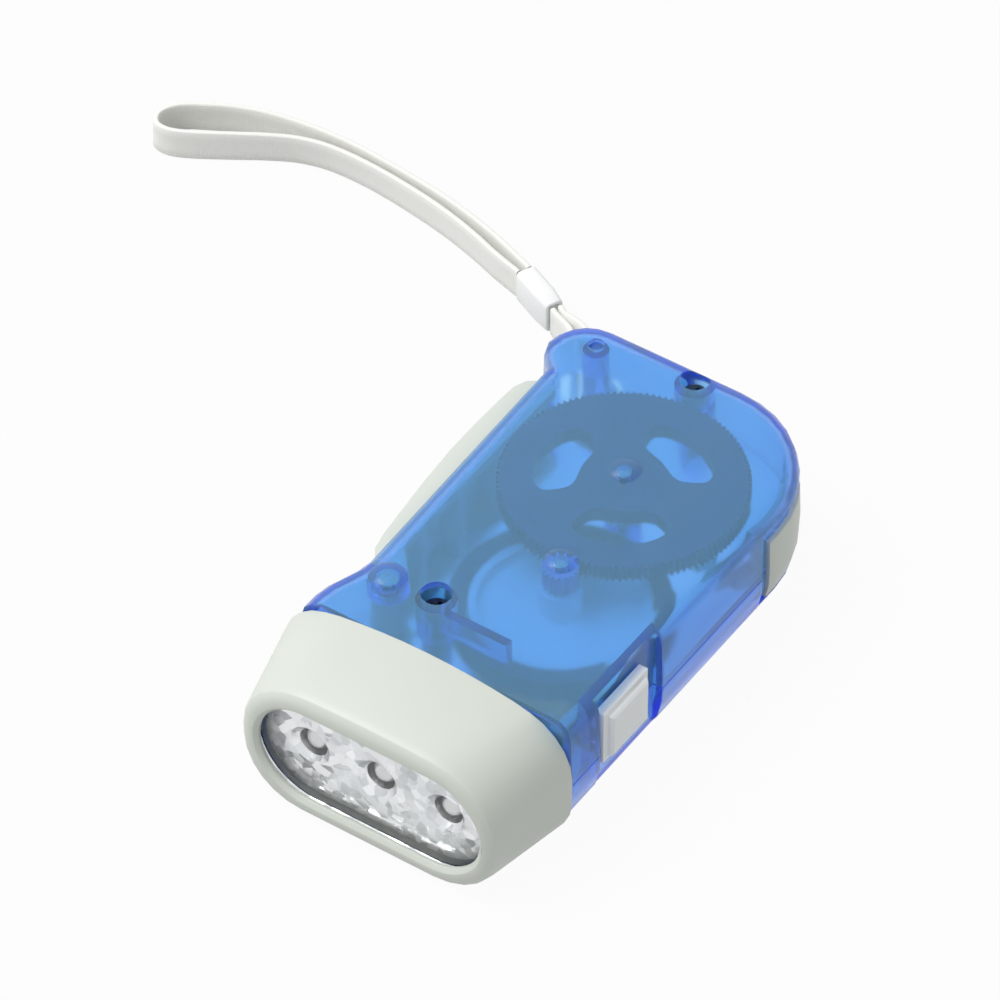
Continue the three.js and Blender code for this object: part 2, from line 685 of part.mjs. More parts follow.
// Cross-section of the bezel's rear or front rim, crowned along its top side, drawn in by the given amount
function bezelOutline(rim, inward) {
  const cornerSteps = 6;
  const crownSteps = 8;
  const middle = (rim.left + rim.right) / 2;
  const half = (rim.right - rim.left) / 2;
  const top = bezelMiddle - inward;
  const corners = roundedRectangle(
    2 * (half - inward), 2 * top, rim.radius - inward, cornerSteps, rim.lowRadius - inward,
  );
  const flatHalf = half - rim.radius;
  const crest = Array.from({ length: crownSteps - 1 }, (unused, i) => (
    point(flatHalf * (1 - 2 * (i + 1) / crownSteps), top)
  ));
  const outline = [...corners.slice(0, cornerSteps + 1), ...crest, ...corners.slice(cornerSteps + 1)];
  return outline.map((p) => {
    const away = Math.min(Math.abs(p.x / (half * bezel.crownShare)), 1);
    const rise = rim.crown * (1 - away ** 2) * Math.max(p.y, 0) / bezelMiddle;
    return point(p.x + middle, p.y + bezelMiddle + rise);
  });
}

// Outline with nearly half round ends
function stadium(width, height) {
  const endSteps = 10;
  return raised(roundedRectangle(width, height, height, endSteps), bezelMiddle);
}

const windowWidth = frontRim.right - frontRim.left - 2 * bezel.windowSide;
const windowHeight = bezelHeight - 2 * bezel.windowRim;

function bezelShell() {
  const edgeSteps = [0, 0.4, 0.7, 1].map((share) => share * quarterTurn);
  const edgeLevels = edgeSteps.map((angle) => nose + bezel.edgeRound * (1 - Math.sin(angle)));
  const outer = loft(
    [
      bezelOutline(rearRim, 0),
      ...edgeSteps.map((angle) => bezelOutline(frontRim, bezel.edgeRound * (1 - Math.cos(angle)))),
    ],
    [bezelRear, ...edgeLevels],
    'y',
  );
  const lipBack = nose + bezel.lipThickness;
  const innerRear = bezelOutline(rearRim, bezel.wall);
  const inner = loft(
    [innerRear, innerRear, bezelOutline(frontRim, bezel.wall)],
    [bezelRear + overrun, bezelRear, lipBack],
    'y',
  );
  const wide = 2 * bezel.windowChamfer;
  const window = loft(
    [
      stadium(windowWidth + wide, windowHeight + wide),
      stadium(windowWidth + wide, windowHeight + wide),
      stadium(windowWidth, windowHeight),
      stadium(windowWidth, windowHeight),
    ],
    [nose - overrun, nose, nose + bezel.windowChamfer, lipBack + overrun],
    'y',
  );
  return cutAll(outer, [inner, window]);
}

const lensFront = nose + bezel.lipThickness + gap;
const lensBack = lensFront + lens.thickness;
const reflectorFront = lensBack + gap;
const reflectorBack = reflectorFront + reflector.depth;
const ledBase = reflectorBack + gap;
const boardFront = ledBase + led.flangeHeight + gap;
const boardBack = boardFront + board.thickness;
const lensWidth = windowWidth + 2 * lens.lap;
const lensHeight = windowHeight + 2 * lens.lap;

function frontLens() {
  return loft([stadium(lensWidth, lensHeight), stadium(lensWidth, lensHeight)], [lensFront, lensBack], 'y');
}

function turnedAlongNose(profile, x, steps) {
  const geometry = new THREE.LatheGeometry(profile, steps);
  return solid(geometry.translate(x, 0, bezelMiddle));
}

const cupPlaces = { left: -reflector.cupSpacing, middle: 0, right: reflector.cupSpacing };

function reflectorBlock() {
  const outline = stadium(lensWidth - 2 * reflector.rim, lensHeight - 2 * reflector.rim);
  const whole = loft([outline, outline], [reflectorFront, reflectorBack], 'y');
  const cups = Object.values(cupPlaces).flatMap((x) => {
    const bottom = reflectorFront + reflector.cupDepth;
    const profile = [1, 0.92, 0.78, 0.6, 0.45].map((share) => (
      point(reflector.cupRadius * share, bottom - reflector.cupDepth * share * share)
    ));
    const mouth = point(reflector.cupRadius, reflectorFront - overrun);
    const cup = turnedAlongNose([point(0, mouth.y), mouth, ...profile, point(0, profile.at(-1).y)], x, 20);
    const hole = turnedAlongNose(
      [
        point(0, reflectorFront), point(led.radius + gap, reflectorFront),
        point(led.radius + gap, reflectorBack + overrun), point(0, reflectorBack + overrun),
      ],
      x,
      16,
    );
    return [cup, hole];
  });
  return cutAll(whole, cups);
}

// Square bar through the board, for a lamp's pin or for its hole
function pinBlock(middle, half, front, rear) {
  return block(middle - half, middle + half, front, rear, bezelMiddle - half, bezelMiddle + half);
}

function ledLamp(x) {
  const base = ledBase + led.flangeHeight;
  const shoulder = ledBase - led.bodyLength;
  const capArc = [0, 0.33, 0.67, 1].map((share) => (
    point(led.radius * Math.cos(share * quarterTurn), shoulder - led.radius * Math.sin(share * quarterTurn))
  ));
  capArc[capArc.length - 1].x = 0;
  const profile = [
    point(0, base), point(led.flangeRadius, base), point(led.flangeRadius, ledBase),
    point(led.radius, ledBase), ...capArc,
  ];
  const lamp = turnedAlongNose(profile, x, 16);
  const pins = [-1, 1].map((side) => {
    const middle = x + side * led.pinSpacing / 2;
    const half = led.pinSize / 2;
    return pinBlock(middle, half, base - gap, boardBack + gap);
  });
  return union([lamp, ...pins]);
}

function ledBoard() {
  const inset = 2 * (neck.wall + board.margin);
  const outline = stadium(neckWidth - inset, neckHeight - inset);
  const plate = loft([outline, outline], [boardFront, boardBack], 'y');
  const half = led.pinSize / 2 + gap;
  const holes = Object.values(cupPlaces).flatMap((x) => [-1, 1].map((side) => {
    const middle = x + side * led.pinSpacing / 2;
    return pinBlock(middle, half, boardFront - overrun, boardBack + overrun);
  }));
  return cutAll(plate, holes);
}

const boardMountPlane = boardBack + gap + led.pinSize;

function storageCell() {
  const step = cell.radius / 12;
  const profile = [
    point(0, boardMountPlane), point(cell.radius - step, boardMountPlane),
    point(cell.radius, boardMountPlane + step), point(cell.radius, boardMountPlane + cell.thickness - step),
    point(cell.radius - step, boardMountPlane + cell.thickness), point(0, boardMountPlane + cell.thickness),
  ];
  return turnedAlongNose(profile, cell.offset, 24);
}

function rectifierBlock() {
  const low = bezelMiddle - rectifier.height / 2;
  return block(
    rectifier.offset - rectifier.width / 2, rectifier.offset + rectifier.width / 2,
    boardMountPlane, boardMountPlane + rectifier.depth, low, low + rectifier.height,
  );
}

// Gears

// Points of one tooth seen from the gear's middle: root, tip, tip, root
function toothPoints(centre, angle, pitchAngle, rootRadius, tipRadius) {
  const root = tooth.rootShare * pitchAngle / 2;
  const tip = tooth.tipShare * pitchAngle / 2;
  return [
    polar(centre, rootRadius, angle - root), polar(centre, tipRadius, angle - tip),
    polar(centre, tipRadius, angle + tip), polar(centre, rootRadius, angle + root),
  ];
}

function gearOutline(centre, teeth, module, phase) {
  const pitchAngle = fullTurn / teeth;
  const radius = teeth * module / 2;
  const tip = radius + tooth.addendumShare * module;
  const root = radius - tooth.dedendumShare * module;
  return Array.from({ length: teeth }, (unused, k) => (
    toothPoints(centre, phase + k * pitchAngle, pitchAngle, root, tip)
  )).flat();
}

// Kidney window: an oval with full corners, bent round the gear's middle
function kidneyWindow(centre, middle) {
  const inner = driveGear.hubRadius + gearWindow.hubMargin;
  const across = (driveGear.windowRadius - inner) / 2;
  const full = (value) => Math.sign(value) * Math.abs(value) ** gearWindow.squareness;
  return Array.from({ length: gearWindow.steps }, (unused, i) => {
    const turn = fullTurn * i / gearWindow.steps;
    const radius = inner + across + across * full(Math.cos(turn));
    return polar(centre, radius, middle + gearWindow.spanAngle / 2 * full(Math.sin(turn)));
  });
}

function driveGearWheel() {
  const windows = gearWindow.angles.map((angle) => kidneyWindow(drivePoint, angle));
  return prism(
    gearOutline(drivePoint, driveGear.teeth, driveGear.module, rotorPinion.angle),
    driveGearLow, driveGearLow + driveGear.thickness,
    [circle(drivePoint, axleRadius + axleClearance, 16), ...windows],
  );
}

function drivePinionWheel() {
  return prism(
    gearOutline(drivePoint, drivePinion.teeth, sector.module, sector.angle),
    sectorLow, sectorLow + sector.thickness,
    [circle(drivePoint, axleRadius + axleClearance, 16)],
  );
}

// Sprung plate with two pawl arms, which lets the gear run on when the lever returns
function ratchetPlate() {
  const low = sectorLow + sector.thickness + gap;
  const high = driveGearLow - gap;
  const outer = driveGear.hubRadius;
  const plate = tube(drivePoint, axleRadius + axleClearance, outer, low, high, 24);
  const arms = [0, Math.PI].map((start) => {
    const end = start + quarterTurn;
    return ringSector(drivePoint, outer / 2, outer - axleRadius, start, end, low - gap, high + gap, 6);
  });
  return cutAll(plate, arms);
}

function rotorPinionWheel() {
  const phase = rotorPinion.angle + Math.PI + Math.PI / rotorPinion.teeth;
  return prism(
    gearOutline(rotorPoint, rotorPinion.teeth, driveGear.module, phase),
    driveGearLow - rotorPinion.extra, driveGearLow + driveGear.thickness + rotorPinion.extra,
    [circle(rotorPoint, axleRadius + axleClearance, 12)],
  );
}

// Lever

const leverPoints = leverOuterShares.map(([along, out]) => (
  point(leftWall - lever.proud * out, leverFront + (leverRear - leverFront) * along)
));
const leverInside = leftWall + body.wall + gap / 3;

function leverPlate(low, high) {
  const hubSide = pivot.hubRadius - gap;
  const outline = [
    ...leverPoints,
    point(leverInside, leverRear - lever.tailRadius),
    point(leverInside, pivot.y + 3 * pivot.bossRadius),
    point(pivot.x + hubSide, pivot.y + hubSide),
    point(pivot.x + hubSide, pivot.y),
    point(pivot.x - hubSide, pivot.y),
    point(pivot.x - hubSide / 2 - 2 * gap, pivot.y + hubSide * 3 / 2),
  ];
  return prism(outline.reverse(), low, high);
}

function leverSkin() {
  const inner = leverPoints.map((p) => point(Math.min(p.x + lever.skin, leverInside), p.y)).reverse();
  inner[0].y -= lever.skin;
  inner[1].y -= lever.skin / 2;
  return prism([...leverPoints, ...inner].reverse(), lever.low, leverHigh);
}

const sectorRadius = sector.teeth * sector.module / 2;
const sectorOuter = sectorRadius + sector.band;
const armStart = sector.angle - (lever.swingAngle + armMargin.front) * degree;
const nibStart = armStart + gap / sectorRadius;
const nibEnd = nibStart + leverNib.span / sectorRadius;

function sectorArm() {
  const pitchAngle = fullTurn / sector.teeth;
  const tip = sectorRadius - tooth.addendumShare * sector.module;
  const root = sectorRadius + tooth.dedendumShare * sector.module;
  const to = sector.angle + armMargin.rear * degree;
  const inner = [];
  const first = Math.ceil((armStart - sector.angle) / pitchAngle);
  const last = Math.floor((to - sector.angle) / pitchAngle) - 1;
  for (let k = first; k <= last; k++) {
    inner.push(...toothPoints(pivotPoint, sector.angle + (k + 0.5) * pitchAngle, pitchAngle, root, tip));
  }
  const joinAt = point(leftWall - lever.proud + lever.skin, pivot.y + sectorOuter);
  const joinAngle = Math.atan2(joinAt.y - pivot.y, joinAt.x - pivot.x);
  const outer = arc(pivotPoint, sectorOuter, sectorOuter, joinAngle, armStart, 16);
  const bridge = arc(pivotPoint, root, root, to, joinAngle, 6);
  const nib = ringSector(
    pivotPoint, sectorOuter - gap, sectorOuter + leverNib.rise, nibStart, nibEnd,
    sectorLow, sectorLow + sector.thickness, 2,
  );
  const band = prism(
    [polar(pivotPoint, root, armStart), ...inner, ...bridge, ...outer],
    sectorLow, sectorLow + sector.thickness,
  );
  return band.add(nib);
}

function squeezeLever() {
  const hub = rod(pivotPoint, pivot.hubRadius, lever.low, leverHigh);
  const ribs = leverRibShares.map((share) => {
    const y = leverFront + (leverRear - leverFront) * share;
    const out = leftWall - lever.proud * leverOutAt(share) + lever.skin / 2;
    const half = lever.ribThickness / 2;
    return block(out, leverInside, y - half, y + half, lever.low, leverHigh);
  });
  const whole = union([
    leverSkin(),
    leverPlate(lever.low, lever.low + lever.flange),
    leverPlate(leverHigh - lever.flange, leverHigh),
    hub,
    ...ribs,
    sectorArm(),
  ]);
  return whole.subtract(rod(pivotPoint, pivot.pinRadius + axleClearance, 0, body.height));
}

function leverOutAt(share) {
  const after = leverOuterShares.findIndex(([along]) => along >= share);
  const [a0, o0] = leverOuterShares[after - 1];
  const [a1, o1] = leverOuterShares[after];
  return o0 + (o1 - o0) * (share - a0) / (a1 - a0);
}

// Least clear distance between parts of a wire that lie more than a few diameters apart along it
function leastSelfGap(points, radius) {
  const curve = new THREE.CatmullRomCurve3(points.map((p) => new THREE.Vector3(...p)));
  const samples = curve.getSpacedPoints(10 * points.length);
  const stride = curve.getLength() / (samples.length - 1);
  const apart = Math.ceil(8 * radius / stride);
  let least = Infinity;
  for (let i = 0; i < samples.length; i++) {
    for (let j = i + apart; j < samples.length; j++) {
      least = Math.min(least, samples[i].distanceTo(samples[j]));
    }
  }
  return least - 2 * radius;
}

function leverSpring() {
  const stepsPerTurn = 10;
  const steps = spring.turns * stepsPerTurn;
  const points = [[pivot.x + spring.radius, pivot.y - spring.leg, springLow]];
  for (let i = 0; i <= steps; i++) {
    const p = polar(pivotPoint, spring.radius, i * fullTurn / stepsPerTurn);
    points.push([p.x, p.y, springLow + spring.pitch * i / stepsPerTurn]);
  }
  points.push([pivot.x + spring.radius, pivot.y + spring.leg, springLow + spring.pitch * spring.turns]);
  console.log(`lever spring: least gap to itself ${leastSelfGap(points, spring.wireRadius).toFixed(2)} mm`);
  return tubeAlong(points, spring.wireRadius, 5, points.length + 2);
}

// Rotor and stator

function flywheelDisc() {
  const rimTop = flywheelLow + flywheel.rimHeight;
  const pieces = [
    rod(rotorPoint, flywheel.radius, flywheelLow, flywheelLow + flywheel.web, 36),
    tube(rotorPoint, flywheel.radius - flywheel.rimWidth, flywheel.radius, flywheelLow, rimTop, 36),
    rod(rotorPoint, flywheel.hubRadius, rotorBossHeight + gap, driveGearLow - rotorPinion.extra - gap),
  ];
  return union(pieces).subtract(rod(rotorPoint, axleRadius + axleClearance, 0, body.height, 16));
}

function flywheelRing() {
  return tube(rotorPoint, flywheel.radius + gap, ringReach, flyRingLow, flyRingLow + flyRing.height, 40);
}

function ringMagnet() {
  return tube(rotorPoint, flywheel.hubRadius + gap, magnet.radius, magnet.low, magnetHigh, 32);
}

// Pole plate with claws that reach over the magnet, pointing up or down
function clawPlate(upper) {
  const low = upper ? statorHigh - stator.plate : stator.low;
  const plate = tube(rotorPoint, stator.bore, stator.radius, low, low + stator.plate, 28);
  const reach = claw.reachShare * (statorHigh - stator.low - 2 * stator.plate);
  const clawLow = upper ? low - reach : low;
  const clawHigh = upper ? low + stator.plate : low + stator.plate + reach;
  const turn = upper ? Math.PI / claw.count : 0;
  const claws = Array.from({ length: claw.count }, (unused, k) => {
    const middle = turn + k * fullTurn / claw.count;
    const half = claw.spanAngle / 2;
    const outer = stator.bore + claw.thickness;
    return ringSector(rotorPoint, stator.bore, outer, middle - half, middle + half, clawLow, clawHigh, 3);
  });
  return union([plate, ...claws]);
}

const bobbinLow = stator.low + stator.plate + gap;
const bobbinHigh = statorHigh - stator.plate - gap;

function coilBobbin() {
  return union([
    tube(rotorPoint, bobbin.inner, bobbin.inner + bobbin.wall, bobbinLow, bobbinHigh, 28),
    tube(rotorPoint, bobbin.inner, stator.radius, bobbinLow, bobbinLow + bobbin.flange, 28),
    tube(rotorPoint, bobbin.inner, stator.radius, bobbinHigh - bobbin.flange, bobbinHigh, 28),
  ]);
}

function coilWinding() {
  const inner = bobbin.inner + bobbin.wall + gap;
  const inset = bobbin.flange + gap;
  return tube(rotorPoint, inner, stator.radius - gap, bobbinLow + inset, bobbinHigh - inset, 28);
}

// Pins and screws

function axle(centre, radius, top) {
  return rod(centre, radius, axleEnd, top, 20);
}

function caseScrew(at) {
  const head = rod(at, screw.headRadius, screwSeat + gap, screwSeat + gap + screw.headHeight, 20);
  const shank = rod(at, screw.shankRadius, screw.tip, screwSeat + 2 * gap, 16);
  const [reach, half] = [screw.headRadius * 2 / 3, screw.slotWidth / 2];
  const top = screwSeat + gap + screw.headHeight;
  const slots = [[reach, half], [half, reach]].map(([x, y]) => (
    block(at.x - x, at.x + x, at.y - y, at.y + y, top - screw.slotDepth, top + overrun)
  ));
  return cutAll(head.add(shank), slots);
}

// Switch

const knobFront = pocket.front + knob.clearance;
const sliderTip = pocketFloor - pocket.floorThickness - gap / 3;
const switchFace = sliderTip - slideSwitch.sliderLength - gap;
const switchMiddle = stemMiddle + switchTravel / 2;

function switchKnob() {
  const rear = knobFront + knob.length;
  const plateBack = pocketFloor + gap;
  const plateFace = plateBack + knob.plate;
  const plate = block(plateBack, plateFace, knobFront, rear, knobLow, knobHigh);
  const section = (margin) => [
    point(knobFront + margin, knobLow + margin), point(rear - margin, knobLow + margin),
    point(rear - margin, knobHigh - margin), point(knobFront + margin, knobHigh - margin),
  ];
  const pad = loft(
    [section(knob.padMargin), section(knob.padMargin), section(knob.padMargin + knob.chamfer)],
    [plateFace - gap, plateFace + knob.pad - knob.chamfer, plateFace + knob.pad],
    'x',
  );
  const stemBlock = block(
    sliderTip + gap, plateBack + gap, stemMiddle - stem.width / 2, stemMiddle + stem.width / 2,
    parting - stem.height / 2, parting + stem.height / 2,
  );
  return union([plate, pad, stemBlock]);
}

function switchSlider() {
  return block(
    sliderTip - slideSwitch.sliderLength, sliderTip,
    stemMiddle - slideSwitch.sliderWidth / 2, stemMiddle + slideSwitch.sliderWidth / 2,
    parting - slideSwitch.sliderHeight / 2, parting + slideSwitch.sliderHeight / 2,
  );
}

function switchBody() {
  return block(
    switchFace - slideSwitch.depth, switchFace,
    switchMiddle - slideSwitch.length / 2, switchMiddle + slideSwitch.length / 2,
    parting - slideSwitch.height / 2, parting + slideSwitch.height / 2,
  );
}

// Two posts of the lower shell under the switch
function switchPosts() {
  const top = parting - slideSwitch.height / 2 - gap;
  return [-1, 1].map((side) => {
    const y = switchMiddle + side * (slideSwitch.length / 2 - slideSwitchPostThickness);
    return block(
      switchFace - slideSwitch.depth, switchFace,
      y - slideSwitchPostThickness / 2, y + slideSwitchPostThickness / 2, body.wall / 2, top,
    );
  });
}

// Lock

const lockArmHigh = parting - gap / 2 - lock.clearance;
const lockArmLow = lockArmHigh - lock.armHeight;
const hookInner = sectorOuter + gap;
const hookStart = nibEnd + gap / sectorOuter;
const hookEnd = hookStart + lock.hookWidth / sectorOuter;

// Hook in line with the lever's nib, stopped just below it so that the two can pass
function lockHook() {
  const outer = hookInner + leverNib.rise;
  return ringSector(
    pivotPoint, hookInner, outer, hookStart, hookEnd, lockArmLow, sectorLow - lock.clearance, 2,
  );
}

// Arm round the slide's middle, from the guide to the hook
function lockArm(guideOuter) {
  const hookPoint = polar(pivotPoint, hookInner + leverNib.rise / 2, (hookStart + hookEnd) / 2);
  const toHook = hookPoint.clone().sub(cornerPoint);
  const hookAngle = Math.atan2(toHook.y, toHook.x);
  const inner = toHook.length() - lock.hookWidth / 2;
  const outer = inner + lock.hookWidth;
  const from = hookAngle - lock.hookWidth / 2 / outer;
  const arm = ringSector(cornerPoint, inner, guideOuter, from, lock.startAngle, lockArmLow, lockArmHigh, 8);
  const slimEnd = lock.startAngle - 3 * lock.overlapAngle;
  const slim = ringSector(
    cornerPoint, outer, guideOuter + overrun, from - lock.overlapAngle, slimEnd, 0, body.height, 8,
  );
  return arm.subtract(slim);
}

function leverLock() {
  const radius = body.rearRightRadius;
  const innerWall = radius - body.wall;
  const thumb = ringSector(
    cornerPoint, innerWall - 2 * lock.clearance, radius + overrun,
    lock.startAngle, lock.endAngle, lockLow, lockHigh,
  ).intersect(outerBlock).subtract(bodyBlock(body.wall + lock.clearance, bodyFront));
  const guideOuter = innerWall - lock.guideInset;
  const guideLow = parting - lock.guideDrop;
  const guide = ringSector(
    cornerPoint, guideOuter - lock.guide, guideOuter,
    lock.startAngle - lock.overlapAngle, lock.endAngle - 2 * lock.overlapAngle,
    guideLow, lockHigh + lock.guideRise,
  );
  const link = ringSector(
    cornerPoint, guideOuter - lock.guide / 2, radius - body.wall / 2, lock.startAngle + lock.overlapAngle,
    lock.endAngle - 3 * lock.overlapAngle, guideLow + gap, lockHigh,
  );
  return union([thumb, guide, link, lockArm(guideOuter), lockHook()]);
}

// Leads, each along its own route inside the housing

function leadAlong(route) {
  return tubeAlong(route, lead.radius, 8, 2 * route.length);
}

const leadEnd = boardBack + gap;
const leadMiddle = (bodyFront + leadEnd) / 2;

function coilLead(side) {
  const away = stator.radius + gap + lead.radius / 2;
  const start = polar(rotorPoint, away, -quarterTurn + side * lead.coilAngle);
  const low = bobbinLow + bobbin.flange / 2;
  const x = start.x + 2 * side * lead.spacing;
  const z = bezelMiddle - neckHeight / 3;
  return leadAlong([
    [start.x, start.y - lead.radius, low],
    [start.x + side * lead.spacing, start.y - 3 * lead.radius, low + 3 * lead.radius],
    [x, bodyFront + overrun, z],
    [x, leadMiddle, z],
    [x, leadEnd, z],
  ]);
}

function switchLead(side) {
  const x = switchFace - slideSwitch.depth / 2;
  const y = switchMiddle - slideSwitch.length / 2 - 2 * gap;
  const z = parting + side * slideSwitch.height / 4;
  const inner = Math.min(x, neckWidth / 2 - neckRadius / 2 - neck.wall);
  return leadAlong([
    [x, y, z],
    [x - lead.radius, y - 2 * lead.radius, z],
    [inner, bodyFront, z + side * lead.radius],
    [inner - lead.radius, leadMiddle, z + side * lead.spacing],
    [inner - 2 * lead.radius, leadEnd, z + side * lead.spacing],
  ]);
}

// Strap

function webbing(route, steps) {
  const half = strap.thickness / 2;
  const tall = strap.width / 2;
  const edge = strap.edgeRound;
  const section = [
    point(tall, half - edge), point(tall - edge, half),
    point(edge - tall, half), point(-tall, half - edge),
    point(-tall, edge - half), point(edge - tall, -half),
    point(tall - edge, -half), point(tall, edge - half),
  ];
  const curve = new THREE.CatmullRomCurve3(route.map((p) => new THREE.Vector3(...p)));
  const shape = new THREE.Shape(section);
  return solid(new THREE.ExtrudeGeometry(shape, { steps, extrudePath: curve, bevelEnabled: false }));
}

function strapSleeve() {
  const along = sleeveFar.clone().sub(sleeveNear);
  const length = along.length();
  const section = (width, height) => (
    raised(roundedRectangle(width, height, strap.thickness, 3), sleeve.low + height / 2)
  );
  const near = section(sleeve.nearWidth, sleeve.nearHeight);
  const far = section(sleeve.width, sleeve.height);
  const upright = loft(
    [near, far, far],
    [0, length / 3, length],
    'y',
  );
  const geometry = toGeometry(upright);
  geometry.rotateZ(along.angle() - quarterTurn).translate(sleeveNear.x, sleeveNear.y, 0);
  return solid(geometry);
}

// Assembly

const torch = new THREE.Group();

function addPiece(name, piece, surface, parent) {
  const mesh = new THREE.Mesh(toGeometry(piece), new THREE.MeshStandardMaterial(surface));
  mesh.name = name;
  parent.add(mesh);
}

function addGroup(pieces) {
  const group = new THREE.Group();
  for (const [name, piece, surface] of pieces) addPiece(name, piece, surface, group);
  torch.add(group);
}

addGroup([
  ['top_shell', topShell(), finish.blue],
  ['bottom_shell', bottomShell(), finish.blue],
  ['bezel', bezelShell(), finish.grey],
  ...screwPoints.map(({ name, at }) => [`case_screw_${name}`, caseScrew(at), finish.steel]),
]);

addGroup([
  ['front_lens', frontLens(), finish.clear],
  ['reflector', reflectorBlock(), finish.silver],
  ...Object.entries(cupPlaces).map(([name, x]) => [`led_${name}`, ledLamp(x), finish.led]),
  ['led_board', ledBoard(), finish.board],
  ['storage_cell', storageCell(), finish.steel],
  ['rectifier', rectifierBlock(), finish.dark],
]);

addGroup([
  ['squeeze_lever', squeezeLever(), finish.grey],
  ['lever_pin', axle(pivotPoint, pivot.pinRadius, body.height - axleEnd), finish.steel],
  ['lever_spring', leverSpring(), finish.steel],
  ['lever_lock', leverLock(), finish.grey],
]);

addGroup([
  ['drive_axle', axle(drivePoint, axleRadius, body.height - axleEnd), finish.steel],
  ['drive_pinion', drivePinionWheel(), finish.white],
  ['ratchet_plate', ratchetPlate(), finish.steel],
  ['drive_gear', driveGearWheel(), finish.dark],
]);

addGroup([
  ['rotor_axle', axle(rotorPoint, axleRadius, body.height - axleEnd), finish.steel],
  ['rotor_pinion', rotorPinionWheel(), finish.dark],
  ['flywheel', flywheelDisc(), finish.white],
  ['flywheel_ring', flywheelRing(), finish.dark],
  ['ring_magnet', ringMagnet(), finish.ferrite],
  ['stator_lower_plate', clawPlate(false), finish.steel],
  ['stator_upper_plate', clawPlate(true), finish.steel],
  ['coil_bobbin', coilBobbin(), finish.white],
  ['coil_winding', coilWinding(), finish.copper],
]);

addGroup([
  ['switch_knob', switchKnob(), finish.grey],
  ['switch_slider', switchSlider(), finish.dark],
  ['switch_body', switchBody(), finish.steel],
  ['coil_lead_red', coilLead(1), finish.redLead],
  ['coil_lead_black', coilLead(-1), finish.blackLead],
  ['switch_lead_red', switchLead(1), finish.redLead],
  ['switch_lead_black', switchLead(-1), finish.blackLead],
]);

addGroup([
  ['strap_webbing', webbing(strapPath, strap.steps), finish.webbing],
  ['strap_sleeve', strapSleeve(), finish.white],
  ['strap_tail', webbing(tailPath, strap.tailSteps), finish.webbing],
]);

export default torch;
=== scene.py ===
import json
import math

import bmesh
import bpy
from mathutils import Matrix, Vector


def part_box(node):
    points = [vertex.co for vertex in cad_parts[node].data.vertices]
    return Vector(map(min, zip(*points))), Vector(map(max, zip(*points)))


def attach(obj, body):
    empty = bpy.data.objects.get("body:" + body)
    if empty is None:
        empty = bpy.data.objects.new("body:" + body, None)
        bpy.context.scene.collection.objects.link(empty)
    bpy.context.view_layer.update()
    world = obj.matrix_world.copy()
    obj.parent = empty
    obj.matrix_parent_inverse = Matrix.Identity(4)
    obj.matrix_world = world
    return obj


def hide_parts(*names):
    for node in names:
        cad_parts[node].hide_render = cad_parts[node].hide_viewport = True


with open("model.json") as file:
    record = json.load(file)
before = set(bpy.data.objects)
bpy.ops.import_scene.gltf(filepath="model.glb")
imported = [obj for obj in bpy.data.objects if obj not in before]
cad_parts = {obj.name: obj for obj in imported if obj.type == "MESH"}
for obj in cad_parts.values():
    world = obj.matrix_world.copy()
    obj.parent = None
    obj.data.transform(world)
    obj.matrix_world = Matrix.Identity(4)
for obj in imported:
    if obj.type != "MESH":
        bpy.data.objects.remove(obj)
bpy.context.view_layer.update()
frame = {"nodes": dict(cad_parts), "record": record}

# The looks of a squeeze lever dynamo torch, built round its measured solids.
# Metres, +Z up, nose along -Y.

MM = 0.001


# Selecting and shaping

MERGE_DISTANCE = 2e-6
FLAT_ANGLE = 0.4


def pick(piece):
    """Makes a piece the only one selected, and the active one."""
    bpy.ops.object.select_all(action="DESELECT")
    piece.select_set(True)
    bpy.context.view_layer.objects.active = piece


def edit(piece):
    pick(piece)
    bpy.ops.object.mode_set(mode="EDIT")
    bpy.ops.mesh.select_all(action="DESELECT")


def done():
    bpy.ops.object.mode_set(mode="OBJECT")


def select_faces(piece, wanted):
    """Selects, in edit mode, the faces for which wanted(middle, normal) is true."""
    mesh = bmesh.from_edit_mesh(piece.data)
    for face in mesh.faces:
        face.select_set(bool(wanted(face.calc_center_median(), face.normal)))
    bmesh.update_edit_mesh(piece.data)


def face_outward():
    """Turns the normals of the piece in edit mode outward."""
    bpy.ops.mesh.select_all(action="SELECT")
    bpy.ops.mesh.normals_make_consistent(inside=False)


def apply_modifier(piece, kind, **settings):
    pick(piece)
    modifier = piece.modifiers.new(kind.lower(), kind)
    for key, value in settings.items():
        setattr(modifier, key, value)
    bpy.ops.object.modifier_apply(modifier=modifier.name)


def round_edges(piece, width, segments, angle):
    """Rounds the edges that turn by more than an angle in degrees."""
    apply_modifier(
        piece, "BEVEL", width=width, segments=segments, limit_method="ANGLE",
        angle_limit=math.radians(angle), miter_outer="MITER_ARC", use_clamp_overlap=True,
    )


def smooth(piece, angle):
    pick(piece)
    bpy.ops.object.shade_smooth_by_angle(angle=math.radians(angle))


def copy_of(node, name):
    """A new piece with the merged mesh of a measured solid."""
    piece = bpy.data.objects.new(name, frame["nodes"][node].data.copy())
    piece.data.name = name
    piece.data.materials.clear()
    bpy.context.scene.collection.objects.link(piece)
    edit(piece)
    bpy.ops.mesh.select_all(action="SELECT")
    bpy.ops.mesh.remove_doubles(threshold=MERGE_DISTANCE)
    bpy.ops.mesh.dissolve_limited(angle_limit=math.radians(FLAT_ANGLE))
    done()
    bpy.ops.mesh.customdata_custom_splitnormals_clear()
    return piece


def settle(piece, body, material, node):
    """Gives a piece its finish, the body that carries it and the solid that it stands for."""
    piece.data.materials.clear()
    piece.data.materials.append(material)
    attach(piece, body)
    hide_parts(node)


